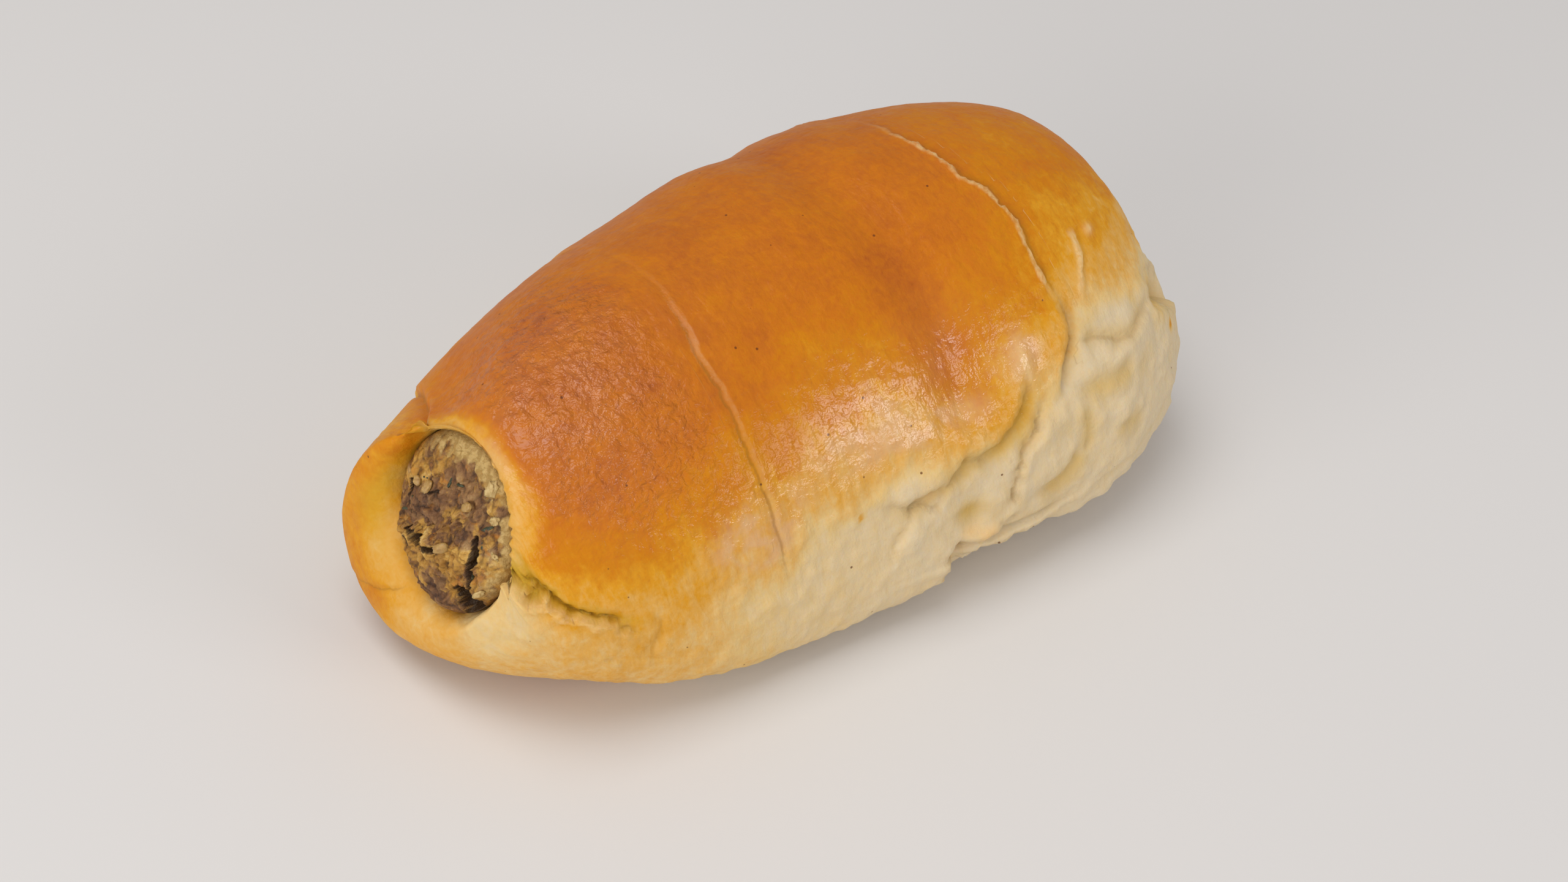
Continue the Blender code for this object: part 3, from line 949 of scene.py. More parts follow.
@dataclass(frozen=True)
class BitFinish:
    """Finish of small bits: two colours that blend in a fine pattern.

    Attributes:
        name: name of the material.
        first: one colour.
        second: the other colour.
        grain: width of the pattern in mm.
        rough: roughness.
        clear: how far light goes in, from 0 to 1.
    """

    name: str
    first: Colour
    second: Colour
    grain: float = 0.5
    rough: float = 0.5
    clear: float = 0.1

    def material(self) -> bpy.types.Material:
        """Build the nodes of the bits.

        Returns:
            The material.
        """
        w = Wiring(self.name)
        share = w.spread(w.noise(self.grain, 3.0, 0.6, 0.4), 0.36, 0.64)
        normal = w.bump(w.noise(0.6 * self.grain, 2.0, 0.55), 0.10)
        return w.finish(Base_Color=w.blend(share, self.first, self.second), Roughness=self.rough, Normal=normal,
                        Subsurface_Weight=self.clear, Subsurface_Radius=(1.0, 0.6, 0.3), Subsurface_Scale=0.001)


@dataclass(frozen=True)
class FloorFinish:
    """Plain pale floor.

    Attributes:
        colour: its colour.
    """

    colour: Colour = (0.74, 0.72, 0.70)

    def material(self) -> bpy.types.Material:
        """Build the floor's nodes."""
        return Wiring("pale_floor").finish(Base_Color=self.colour, Roughness=0.85)


@dataclass
class DoughRoll:
    """The baked dough: skin, both lips and the tunnel, as one closed surface.

    Attributes:
        form: the plain loft.
        steps: points round a ring.
        rows: rings over the skin.
        lip_rows: rings over each lip.
        tunnel_rows: rings down the tunnel.
        noise: the random values of its surface.
        seam_stations: stations of the two seams, and how much closer the rings lie there.
        seam_reach: stations over which they lie closer.
        folds: edges, seams and creases, from the near mouth to the far one.
        valley: the soft dip between the last two windings.
        swells: rises and hollows.
        bakes_and_valley_shade: patches that are browned more or less; the two in the valley are painted shade.
        fats: patches where fat has soaked in.
        glazes_and_highlights: patches where the egg wash lies thicker or, below zero, thinner; over barely browned
            dough they also lay a painted highlight.
        sheen: gloss of browned dough between those patches, from 0 to 1.
        pale_spots_and_highlights: patches painted pale: unbaked dough such as a blister, and on one ridge a painted
            highlight.
        dimples: stretches of skin that glint because they are dimpled.
        slack: where the pleats are crumpled.
        frayed: where their foot is torn.
        oven_line: where the front turns pale, as (arc length in mm, degrees).
        back_line: angle at which the back turns pale, in degrees.
        shade: browning below that line, as (arc length in mm, share).
    """

    form: RollForm = field(default_factory=RollForm)
    steps: int = 400
    rows: int = 200
    lip_rows: int = 22
    tunnel_rows: int = 4
    noise: SolidNoise = SolidNoise(3)
    seam_stations: Route = ((-0.33, 1.8), (0.50, 1.3))
    seam_reach: float = 0.035
    folds: tuple[Fold, ...] = (
        # First seam, seen from the ridge to the foot, and its run round the back
        Fold(((-18.6, 125), (-19.1, 90), (-19.8, 76), (-20.6, 71), (-21.3, 65), (-21.1, 51), (-21.2, 38),
              (-20.9, 24), (-21.2, 18), (-20.2, 12)),
             height=0.18, groove=0.26, width=0.42, fall=5, sink=0.16, bead=0.12, tapers=(0.4, 0.25), dark=0.5,
             pale=0.2),
        Fold(((-13.5, 222), (-16, 160), (-18.4, 112)),
             height=0.3, groove=0.4, width=0.6, sink=0.2, tapers=(0.15, 0.35), dark=0.5, pale=0.3),
        # Second seam: a pale torn rim above, a dark crease below, and its run round the back
        Fold(((35.6, 44), (35.5, 52), (36.3, 63), (35.4, 71), (33.5, 76), (33, 84), (32.1, 90),
              (31.3, 96), (32.1, 112)),
             height=0.35, groove=0.35, width=0.6, fall=8, sink=0.3, bead=0.35, tapers=(0.08, 0.3), waver=0.5,
             dark=0.4, pale=0.8),
        Fold(((29.8, 25), (32.6, 32), (35.2, 36), (36.2, 40), (36, 47)),
             height=0.9, groove=0.9, width=0.75, fall=7, sink=0.5, dark=0.4),
        Fold(((31.9, 108), (31, 140), (30.5, 175), (34, 222)),
             height=0.4, groove=0.5, width=0.7, fall=8, sink=0.3, bead=0.2, tapers=(0.3, 0.15), dark=0.4, pale=0.5),
        # Ridge and lobe of the far winding; the ridge's pale bead is a painted highlight
        Fold(((40.4, 40), (44, 49), (45.2, 56)),
             bead=0.6, tapers=(0.25, 0.25), pale=1, groove=0.2, dark=0.1),
        Fold(((58, 27), (51, 28), (46.8, 27), (40.2, 32), (36.2, 35)),
             height=0.8, groove=0.45, tapers=(0.3, 0.15), dark=0.22, olive_stain_and_shade=0.35),
        # Lower edge of the main winding and the pleats of pale dough under it
        Fold(((-5.6, 24), (-2.5, 22), (1.1, 20), (7.6, 22), (12.4, 24), (15.6, 24), (20.9, 26),
              (23.3, 29), (24.8, 32), (26.5, 40)),
             height=0.9, groove=0.6, sink=0.3, tapers=(0.3, 0.2), waver=0.5, dark=0.2, olive_stain_and_shade=0.45),
        Fold(((27.6, 29), (25.5, 23), (22.1, 20), (19.3, 12), (19.4, 8)),
             height=0.9, groove=0.9, width=0.6, fall=5, tapers=(0.2, 0.2), waver=0.5, dark=0.3, olive_stain_and_shade=0.2),
        Fold(((9.3, 24), (5.4, 17), (2, 19), (-0.4, 15), (-2.6, 12), (-4.6, 3)),
             height=0.5, groove=0.4, width=0.5, sink=0.25, tapers=(0.2, 0.3), waver=0.4, dark=0.12, olive_stain_and_shade=0.15),
        Fold(((35.4, 25), (35.2, 16), (34.1, 10)),
             height=0.35, groove=0.55, width=1, fall=5, olive_stain_and_shade=0.45),
        Fold(((22.5, 9), (27.4, 10), (30.2, 12), (32.5, 16)),
             height=0.5, groove=0.6, width=1.1, fall=5, olive_stain_and_shade=0.5),
        Fold(((32.6, 27), (41.4, 24), (47, 24)),
             height=0.25, groove=0.35, width=1, fall=4, olive_stain_and_shade=0.5),
        Fold(((39, 13.5), (43, 12), (47.5, 9.5)),
             height=0.25, groove=0.35, width=0.9, fall=4, olive_stain_and_shade=0.4),
        # Foot: the pleats stand back from the winding beside them
        Fold(((9, -26), (7.6, -12), (7, -4), (7.4, 2), (10, 5)),
             height=0.9, groove=0.5, width=0.7, fall=8, sink=1.6, tapers=(0.2, 0.2), waver=0.6, dark=0.35, olive_stain_and_shade=0.2),
        # Lobe at the near mouth: it stands before the flap's ragged edge
        Fold(((-43.5, 6), (-45.7, 9), (-46.6, 10), (-48.8, 12), (-50.4, 12), (-54.6, 12), (-57.9, 10.5),
              (-60.4, 11), (-62.9, 9.5), (-65.6, 7), (-67.6, 4), (-70.5, -2), (-74, -9)),
             height=1.4, groove=1.5, width=0.65, fall=8, sink=0.1, bead=0.5, tapers=(0.45, 0.1), waver=1,
             dark=0.1, olive_stain_and_shade=0.95, pale=0.6),
        Fold(((-41.8, 17), (-42.2, 10), (-43.8, 4), (-44.2, -4)),
             height=0.3, groove=0.4, width=0.7, fall=5, tapers=(0.2, 0.3), dark=0.25),
        # Back edge of the flap over the collar, on over the crest, and the collar's own fine crease
        Fold(((-40, 215), (-42, 185), (-46, 160), (-51, 140), (-55.6, 128), (-60, 122),
              (-64, 128), (-69, 140), (-73, 150)),
             height=0.25, groove=0.7, width=0.9, fall=12, sink=0.7, tapers=(0.3, 0.25), dark=0.35),
        Fold(((-66, 220), (-68.5, 230), (-71.5, 236), (-75, 243), (-79, 251)),
             height=0.15, groove=0.3, width=0.45, fall=4, tapers=(0.3, 0.2), dark=0.35),
        # The same at the far mouth
        Fold(((76, -4), (69, 7), (65, 13), (61, 19), (57.5, 25), (53, 29)),
             height=0.8, groove=0.6, width=1.3, fall=9, sink=2.8, tapers=(0.06, 0.4), waver=0.5, dark=0.1, olive_stain_and_shade=0.4),
        Fold(((70, 155), (60, 163), (52, 167), (45, 177), (43, 195)),
             height=1.2, groove=0.9, width=1, fall=9, tapers=(0.1, 0.5), waver=0.7, dark=0.3, olive_stain_and_shade=0.5),
    )
    valley: Fold = Fold(
        ((9.5, 27), (13, 43), (13.2, 60), (10.5, 95), (12, 150), (16, 205)),
        groove=1.3, width=6, tapers=(0.15, 0.15), waver=0)
    swells: tuple[Spot, ...] = (
        Spot(18.8, 4.5, 1.2, -1.5), Spot(18.8, 4.5, 2.4, 0.6), Spot(18, -13, 11, -3.4, 9), Spot(9, 2, 1.6, -2.6),
        Spot(13.4, 4.6, 3.6, 1.6, 1.4), Spot(11.6, 12.5, 3.2, -1.2), Spot(42, 12, 8, 0.8), Spot(-60, 1, 6, 0.9),
        Spot(-52, 119, 10, -2.7), Spot(25.9, 36, 1, 0.45, 3.4), Spot(47.7, 53, 0.9, 0.5),
        Spot(-62.5, 12.6, 3.2, -1, 1.4), Spot(-48.6, 14, 2.2, -0.5, 1), Spot(-65, 0, 3.6, 1.2, 2.6),
        Spot(-54, -32, 15, -1.2, 10), Spot(9, 116, 12, 1.2, 13),
    )
    bakes_and_valley_shade: tuple[Spot, ...] = (
        # The patches at 13.5 and 15.5 mm darken the valley as painted shade
        Spot(-41, 76, 14, 0.07, 20), Spot(-36, 98, 9, 0.05, 10), Spot(13.5, 52, 6, 0.08, 14),
        Spot(15.5, 44, 5, 0.14, 9), Spot(48, 75, 14, -0.14, 28), Spot(-7.4, 22, 0.5, 0.4),
        Spot(60.7, 14, 0.7, 0.6), Spot(58.5, 25, 4, 0.18, 3), Spot(-58, 9.5, 5, 0.12, 1.2),
    )
    fats: tuple[Spot, ...] = (
        Spot(11.2, 12.5, 2.6, 0.7, 2), Spot(-62.3, 12.4, 3.4, 1, 1.4), Spot(-49, 13.6, 3.4, 0.7, 0.9),
        Spot(-79.5, 190, 3.5, 0.55, 8), Spot(48, 20, 3, 0.25, 2), Spot(30, 20, 2.4, 0.2, 2),
    )
    glazes_and_highlights: tuple[Spot, ...] = (
        # Over barely browned dough these patches also lay the painted highlight
        Spot(1, 39, 13, 1.2, 8), Spot(-24, 27, 9, 1, 7), Spot(16, 42, 6, 0.8, 9),
        Spot(-42, 74, 14, 1, 17), Spot(26.5, 38, 3, 0.9, 6), Spot(8, 68, 14, -0.10, 16),
    )
    sheen: float = 0.16
    pale_spots_and_highlights: tuple[Spot, ...] = (
        # The spot at 25.9 mm and 36 degrees is a painted highlight on a ridge
        Spot(13.8, 5, 2, 0.9, 1.2), Spot(11, 7.5, 1.6, 0.7, 1), Spot(25.9, 36, 0.8, 0.9, 3.2),
        Spot(47.7, 53, 0.8, 0.9), Spot(5, 20, 1.2, 0.5),
    )
    dimples: tuple[Patch, ...] = (Patch((-10, -4), (16, 10), 30, 50, 6), Patch((-38, -32), (-14, -20), 18, 34, 6))
    slack: Patch = Patch((-6, 4), PAST, -20, 34, 8)
    frayed: Patch = Patch((6, 9), (24, 17), -3, 8, 4)
    oven_line: Route = (
        (-75, 15), (-60, 15), (-52, 15), (-46, 14), (-40, 18), (-34, 22), (-28, 25), (-22, 27), (-15, 30), (-8, 33),
        (0, 35), (6, 34), (12, 30), (18, 31), (24, 34), (30, 36), (36, 40), (42, 43), (50, 43), (60, 42), (75, 40),
    )
    back_line: float = 158.0
    shade: Route = ((-60, 0.26), (-48, 0.30), (-40, 0.26), (-32, 0.18), (-24, 0.12), (-16, 0.07), (0, 0.03))

    def angles(self) -> Array:
        """Angles round a ring, closest together where the roll shows most.

        Returns:
            Radians.
        """
        fine = np.linspace(0.0, 2.0 * np.pi, 2001)
        density = 0.45 + 0.55 * smooth_step(-0.75, -0.1, np.cos(fine - math.radians(45.0)))
        return bunched(0.0, 2.0 * np.pi, self.steps + 1, density, fine)[:-1]

    def stations(self) -> Array:
        """Stations from crest to crest, closer together at both ends, the near half and the seams.

        Returns:
            Numbers from -1 to 1.
        """
        fine = np.linspace(-1.0, 1.0, 4001)
        density = 0.9 + 0.8 * fine ** 2 + 3.6 * smooth_step(0.9, 1.0, np.abs(fine))
        density += 0.3 * smooth_step(0.5, 0.1, fine)
        for station, more in self.seam_stations:
            density += more * np.exp(-((fine - station) / self.seam_reach) ** 2)
        return bunched(-1.0, 1.0, self.rows, density, fine)

    def rings(self) -> Array:
        """Plain rings in order: near lip outwards, skin, far lip inwards, tunnel back.

        Returns:
            Grid of points in mm.
        """
        angle = self.angles()
        stations, angles = np.meshgrid(self.stations(), angle, indexing="ij")
        shares, lip_angles = np.meshgrid(np.linspace(0.0, 1.0, self.lip_rows + 1)[1:], angle, indexing="ij")
        near = self.form.lip(End.NEAR, shares, lip_angles)[::-1]
        far = self.form.lip(End.FAR, shares, lip_angles)
        down = np.linspace(0.0, 1.0, self.tunnel_rows + 2)[1:-1, None, None]
        tunnel = far[-1] + (near[0] - far[-1]) * down
        return np.concatenate([near, self.form.skin(stations, angles), far, tunnel])

    def measure(self, rings: Array) -> Place:
        """Measure every point of the lips and skin along and round the roll.

        Args:
            rings: the plain rings.

        Returns:
            Where each point lies, tunnel left out.
        """
        shown = rings[:self.rows + 2 * self.lip_rows]
        runs = np.linalg.norm(np.diff(shown, axis=0), axis=2)
        total = np.concatenate([np.zeros((1, shown.shape[1])), np.cumsum(runs, axis=0)])
        order = self.stations()
        below = int(np.searchsorted(order, 0.0, side="right")) - 1
        share = -order[below] / (order[below + 1] - order[below])
        row = below + self.lip_rows
        middle = total[row] + share * (total[row + 1] - total[row])
        angle = np.degrees(self.angles())
        turned = (np.roll(angle, -1) - np.roll(angle, 1)) % 360.0
        chords = np.linalg.norm(np.roll(shown, -1, axis=1) - np.roll(shown, 1, axis=1), axis=2)
        degrees = np.broadcast_to((angle + 90.0) % 360.0 - 90.0, total.shape)
        near = total < middle
        rim = np.where(near, total - total[self.lip_rows], total[self.lip_rows + self.rows - 1] - total)
        edge = np.where(near, total, total[-1] - total)
        return Place(total - middle, degrees, chords / turned, rim, edge)

    def creases(self, place: Place, rings: Array) -> Trace:
        """Add up all folds, and keep the stains and painted shade of the nearest one.

        Args:
            place: where each point lies.
            rings: the plain rings, without the tunnel.

        Returns:
            Relief, stains and painted shade of all the folds together.
        """
        stray = self.noise.layered(rings, 3.0, 3)
        ragged = self.noise.layered(rings, 1.1, 2)
        traces = [fold.trace(place, stray, ragged) for fold in self.folds]
        height = self.valley.trace(place, stray, ragged).height + sum(trace.height for trace in traces)
        olive_stain_and_shade = np.max([trace.olive_stain_and_shade for trace in traces], axis=0)
        across, groove_shade, pale = np.full(height.shape, 9.0), np.zeros(height.shape), np.zeros(height.shape)
        for trace in traces:
            closer = (np.abs(trace.across) < np.abs(across)) & (trace.groove_shade + trace.pale > 0.01)
            across = np.where(closer, trace.across, across)
            groove_shade, pale = np.where(closer, trace.groove_shade, groove_shade), np.where(closer, trace.pale, pale)
        return Trace(height, np.clip(across, -6.0, 6.0), groove_shade, olive_stain_and_shade, pale)

    def leather(self, place: Place) -> Array:
        """How leathery the skin is, from 0 to 1: only on the near shoulder, inside its rim."""
        shoulder = Patch(BEFORE, (-20.0, -30.0), 38.0, 120.0, 12.0).share(place) * smooth_step(2.0, 9.0, place.rim)
        return shoulder * (0.8 + 0.2 * self.noise.smooth(place.flat(), 9.0))

    def texture(self, place: Place, rings: Array, browned: Array, leather: Array) -> Array:
        """Small relief of the skin and the near lip.

        It is the sum of broad lumps, leathery wrinkles, streaks round the roll, dimples,
        blisters on unbaked dough, crumpled pleats, a spongy lip, the frayed foot of the pleats
        and the torn edge of the dough over the boudin.

        Args:
            place: where each point lies.
            rings: the plain rings, without the tunnel.
            browned: how far each point is browned.
            leather: how leathery each point is.

        Returns:
            Height in mm.
        """
        layered, crinkled = self.noise.layered, self.noise.crinkled
        near = place.along < 0.0
        glint = sum(patch.share(place) for patch in self.dimples)
        slack, frayed = self.slack.share(place), self.frayed.share(place)
        sponge = smooth_step(-0.5, -3.5, place.rim) * place.between(-5.0, 125.0, 15.0) * near
        torn = smooth_step(4.5, 1.0, place.edge) * place.between(8.0, 95.0, 12.0) * near
        streaked = 0.05 * smooth_step(-1.0, 3.0, place.rim) * (1.0 - leather)
        height = 0.22 * layered(rings, 14.0, 2) + (0.03 + 0.22 * leather) * crinkled(rings, 2.2)
        height += streaked * layered(place.flat() * STREAKED + 90.0, 1.8, 2)
        height += (0.03 + 0.10 * glint) * layered(rings + 60.0, 2.2, 2)
        height += 0.36 * smooth_step(0.42, 0.16, browned) * np.clip(layered(rings + 20.0, 3.2, 2), -0.25, 1.0)
        height += slack * (0.65 * crinkled(rings, 7.0) + 0.16 * crinkled(rings + 8.0, 2.4))
        height += 0.40 * sponge * layered(rings, 1.5, 2) + 0.55 * frayed * layered(rings + 3.0, 1.9, 3)
        return height + torn * (0.5 + 0.9 * np.clip(layered(rings + 5.0, 1.4, 3), -0.4, 1.2))

    def browning(self, place: Place) -> Array:
        """How far each point is browned, from 0 to 1.

        Rises in steps with the angle over a line that the oven reached, front and back, and is
        held down on the flap's rim, the collar and the lobe.

        Args:
            place: where each point lies.

        Returns:
            Browning from 0 to 1.
        """
        stray = self.noise.layered(place.flat() * np.array([1.0, 0.6, 1.0]), 9.0, 4)
        front = place.degrees - np.interp(place.along, *zip(*self.oven_line)) + 4.5 * stray
        edge = np.minimum(front, self.back_line - place.degrees + 4.5 * stray)
        base = np.interp(place.along, *zip(*self.shade))
        level = base + (0.40 - base) * smooth_step(-13.0, 2.0, edge) + 0.20 * smooth_step(2.0, 14.0, edge)
        # The patches add browning, and in the valley painted shade
        level += 0.18 * smooth_step(12.0, 34.0, edge) + sum(patch.field(place) for patch in self.bakes_and_valley_shade)
        near = place.along < 0.0
        reach = np.where(near, 6.5 + 4.0 * place.between(15.0, 55.0, 12.0), 7.0) + 1.5 * stray
        rim_tone = 0.36 + 0.60 * smooth_step(1.0, reach, place.rim) - 0.20 * smooth_step(-0.5, -4.0, place.rim)
        level = np.minimum(level, rim_tone)
        mouthward = near * smooth_step(12.0, 4.0, place.rim)
        collar = smooth_step(-11.0, -3.0, place.rim) * place.between(120.0, 250.0, 12.0)
        limb = 0.34 + 0.20 * collar + 0.05 * stray
        level += (limb - level) * mouthward * place.between(134.0, 400.0, 8.0)
        level += (limb - level) * mouthward * (1.0 - place.between(-62.0, 400.0, 12.0))
        level += (0.17 + 0.05 * stray - level) * mouthward * place.between(-44.0, 8.0, 12.0)
        under = place.between(222.0, 300.0, 8.0) + 1.0 - place.between(-55.0, 300.0, 8.0)
        level += (0.46 + 0.10 * stray - level) * under * smooth_step(6.0, 16.0, place.rim)
        return np.clip(level, 0.0, 1.0)

    def build(self) -> bpy.types.Object:
        """Build and paint the dough.

        Returns:
            The object.
        """
        rings = self.rings()
        shown = self.rows + 2 * self.lip_rows
        plain, place = rings[:shown], self.measure(rings)
        near, level = place.along < 0.0, plain[..., 2]
        browned, leather = self.browning(place), self.leather(place)
        folded = self.creases(place, plain)
        fade = smooth_step(0.0, 3.0, level) * smooth_step(0.2, 2.5, place.edge)
        swells, fats, pale_spots_and_highlights, glazes_and_highlights = [sum(spot.field(place) for spot in spots)
                                        for spots in (self.swells, self.fats, self.pale_spots_and_highlights, self.glazes_and_highlights)]
        height = (folded.height + swells) * fade
        fade_fine = smooth_step(0.0, 4.0, level) * smooth_step(0.0, 1.2, place.edge)
        height += self.texture(place, plain, browned, leather) * fade_fine
        soaked = np.where(near, 0.8 * place.between(20.0, 150.0, 18.0), 0.4)
        painted = {
            "browned": browned,
            "leather": leather,
            "skin": smooth_step(-1.0, 3.0, place.rim),
            "across": folded.across,
            # Painted shade of the grooves
            "groove_shade": folded.groove_shade * fade,
            # Pale seam edges, and a painted highlight on a bare ridge
            "rim_pale_and_highlight": folded.pale * fade,
            # Fat stain, and painted shade on the hollow side of folds
            "olive_stain_and_shade": np.clip(np.maximum(folded.olive_stain_and_shade, fats), 0.0, 1.0) * fade,
            # Pale spots, one of them a painted highlight
            "pale_and_highlight": np.clip(pale_spots_and_highlights, 0.0, 1.0),
            "moist": smooth_step(3.4, 0.6, place.edge) * soaked,
            # Gloss also lays the painted highlight over barely browned dough
            "gloss": smooth_step(0.10, 0.40, browned) * (self.sheen + np.clip(glazes_and_highlights, -0.1, 1.0 - self.sheen)),
            "lay": place.flat() * MILLIMETRE,
        }
        normals = ring_normals(rings)
        rings[:shown] += normals[:shown] * height[..., None]
        rings[..., 2] = np.maximum(rings[..., 2], 0.0)
        index = np.arange(rings.shape[0] * rings.shape[1]).reshape(rings.shape[:2])
        faces = strips(np.concatenate([index, index[:1]]))
        piece = grid_mesh("sweet_dough", rings.reshape(-1, 3), faces.tolist())
        for name, values in painted.items():
            whole = np.zeros((rings.shape[0], *values.shape[1:]))
            whole[:shown] = values
            paint(piece, name, whole, Painted.VECTOR if name == "lay" else Painted.NUMBER)
        return dress(piece, CrustFinish().material(), "dough_roll")


@dataclass(frozen=True)
class Rift:
    """A crack or hole in a face of the boudin.

    Attributes:
        route: its corners across and up from the link's axis, in mm.
        width: half its width in mm.
        depth: its depth in mm.
    """

    route: Route
    width: float
    depth: float

    def inside(self, face: Place, ragged: Array) -> tuple[Array, Array]:
        """How far points are inside: 1 within the half width, which noise makes ragged.

        Args:
            face: points of the face, across and up.
            ragged: noise that breaks up the edge.

        Returns:
            Share of the depth, and how strongly painted shade darkens it there: both from 0 to 1.
        """
        distance, share = face.from_route(self.route)
        taper = smooth_step(0.0, 0.12, share) * smooth_step(1.0, 0.88, share)
        past = np.abs(distance) - self.width * (0.35 + 0.65 * taper) * (1.0 + 0.55 * ragged)
        return smooth_step(0.10, -0.25, past), smooth_step(0.20, 0.06, past)


@dataclass
class BoudinLink:
    """The link of boudin: a barrel with crumbly, broken faces.

    Attributes:
        form: the plain loft, which holds the link's sizes.
        steps: points round a ring.
        face_rows: rings over each face.
        barrel_rows: rings down the barrel.
        dome: how far a face bulges, in mm.
        shoulder: how far its edge rounds off, in mm.
        proud: how far each face stands out past the plain link, in mm.
        far_turn: how far the near face's pattern is turned on the far one, in degrees.
        noise: the random values of its surface.
        rifts: cracks and holes of the near face, also turned and used for the far one.
        ledge: broken edge across the face.
    """

    form: RollForm = field(default_factory=RollForm)
    steps: int = 360
    face_rows: int = 96
    barrel_rows: int = 8
    dome: float = 2.2
    shoulder: float = 1.4
    proud: float = 1.6
    far_turn: float = 130.0
    noise: SolidNoise = SolidNoise(11)
    rifts: tuple[Rift, ...] = (
        Rift(((-7.6, 3.4), (-8.2, 1.8), (-8.4, 0.2), (-8.2, -1)), 0.50, 2.4),
        Rift(((-8.2, -1), (-8.7, -2.4), (-9, -4)), 0.42, 2.2),
        Rift(((-5.8, -6.2), (-7.4, -5.8), (-8.8, -5.2), (-9, -6.4), (-8.6, -7.8), (-8, -9.6)), 1.25, 3.4),
        Rift(((6.8, -4.1), (4.4, -3.7), (2.2, -3.2)), 1.05, 3),
        Rift(((3.4, -3.4), (0.2, -2.6), (-1.8, -1.6)), 0.42, 1.8),
        Rift(((6.6, -1.2), (8.4, -0.4), (9.6, 2)), 0.60, 1.4),
        Rift(((7.2, -5.2), (6.6, -6.8)), 0.35, 1.2),
        Rift(((1.6, 5.4), (3.4, 4.4)), 0.22, 0.8),
    )
    ledge: Fold = Fold(((11.5, -5), (6.4, -3.4), (1.4, -1.6), (-2.2, 1.9), (-5, 4.8)), height=1, groove=0.3,
                       width=0.6, fall=5, tapers=(0.1, 0.1), waver=1.2)

    def face(self, end: End) -> tuple[Array, dict[str, Array]]:
        """One crumbly face, from its middle to its rim: a dome with chunks, crumbs and rifts.

        Chunks lie between scattered points. Crumbs are the bare size of stirred noise, so
        they are round between creases. Torn dough sticks to the rim at the upper left.

        Args:
            end: which end of the link.

        Returns:
            Points in mm, and what to paint on them.
        """
        form, layered = self.form, self.noise.layered
        reach = np.linspace(0.0, 1.0, self.face_rows)[:, None]
        turn = np.linspace(0.0, 2.0 * np.pi, self.steps, endpoint=False)[None, :]
        radius = form.boudin_radius * reach * np.ones_like(turn)
        y, z = -radius * np.cos(turn), radius * np.sin(turn)
        twist = 0.0 if end is End.NEAR else math.radians(self.far_turn)
        across, up = y * math.cos(twist) - z * math.sin(twist), y * math.sin(twist) + z * math.cos(twist)
        face = Place(across, up, np.ones_like(y))
        # Each end takes its patterns from another level of the noise
        flat = np.stack([across, up, np.full_like(y, 40.0 * end.value)], axis=-1)
        ragged = layered(flat + 5.0, 1.5, 3)
        _, gap, tone = self.noise.lumps(self.noise.stirred(flat, 2.4, 1.3), 3.4)
        chunk = smooth_step(0.0, 0.30, gap) - 0.7
        crumb = self.noise.crinkled(flat, 2.0) - 0.5
        rough = 0.85 * layered(flat, 6.0, 2) + 0.28 * chunk + 0.36 * crumb + 0.30 * layered(flat + 30.0, 0.8, 2)
        rough += self.ledge.trace(face, ragged, ragged).height
        swing = np.degrees(np.arctan2(up + 2.5, -across + 1.5))
        inset = 12.1 - 1.2 * smooth_step(15.0, 75.0, swing)
        doughy = smooth_step(-25.0, 5.0, swing) * smooth_step(140.0, 100.0, swing)
        doughy = doughy * smooth_step(-0.6, 0.6, form.boudin_radius * reach - inset + 1.8 * ragged)
        rough += doughy * (0.15 + 0.40 * layered(flat + 15.0, 1.7, 3))
        rift_shade = np.zeros_like(y)
        for rift in self.rifts:
            # Rifts sink the face and are darkened with painted shade
            inside, dark = rift.inside(face, ragged)
            rough -= rift.depth * inside
            rift_shade = np.maximum(rift_shade, dark)
        depth = self.dome * (reach ** 2 - 1.0) + self.shoulder * (1.0 - np.sqrt(np.clip(1.0 - reach ** 8, 0.0, 1.0)))
        lean = form.boudin_lean * z / form.boudin_radius
        x = form.mouths[end].boudin_x - end.value * (depth + lean - rough * (1.0 - reach ** 12) - self.proud)
        # Painted shade in the creases between crumbs and the gaps between chunks
        crevice_shade = 0.50 * smooth_step(-0.24, -0.46, crumb) + 0.35 * smooth_step(0.12, 0.0, gap)
        return np.stack([x, form.boudin_axis[0] + y, form.boudin_axis[1] + z], axis=-1), {
            "tone": np.clip(0.5 + 0.55 * (tone - 0.5) + 0.5 * crumb, 0.0, 1.0),
            "ochre": 0.58 + 0.62 * layered(flat + 70.0, 4.6, 3) + 0.30 * (tone - 0.5),
            "gap": np.clip(np.maximum(0.95 * rift_shade, crevice_shade * (1.0 - doughy)), 0.0, 1.0),
            "doughy": doughy,
        }

    def build(self) -> bpy.types.Object:
        """Build and paint the link.

        Returns:
            The object.
        """
        near, near_paint = self.face(End.NEAR)
        far, far_paint = self.face(End.FAR)
        down = np.linspace(0.0, 1.0, self.barrel_rows + 2)[1:-1, None, None]
        barrel = near[-1] + (far[-1] - near[-1]) * down
        rings = np.concatenate([near[1:], barrel, far[:0:-1]])
        count = rings.shape[0] * self.steps
        index = np.arange(count).reshape(rings.shape[:2])
        faces = strips(index).tolist() + caps(index, count, count + 1).tolist()
        piece = grid_mesh("boudin_link", np.concatenate([rings.reshape(-1, 3), near[:1, 0], far[:1, 0]]), faces)
        for name, first in near_paint.items():
            last = far_paint[name]
            between = np.full(barrel.shape[:2], 0.0 if name in ("gap", "doughy") else 0.4)
            whole = np.concatenate([first[1:], between, last[:0:-1]])
            paint(piece, name, np.concatenate([whole.ravel(), first[:1, 0], last[:1, 0]]))
        return dress(piece, BoudinFinish().material(), "boudin_filling")


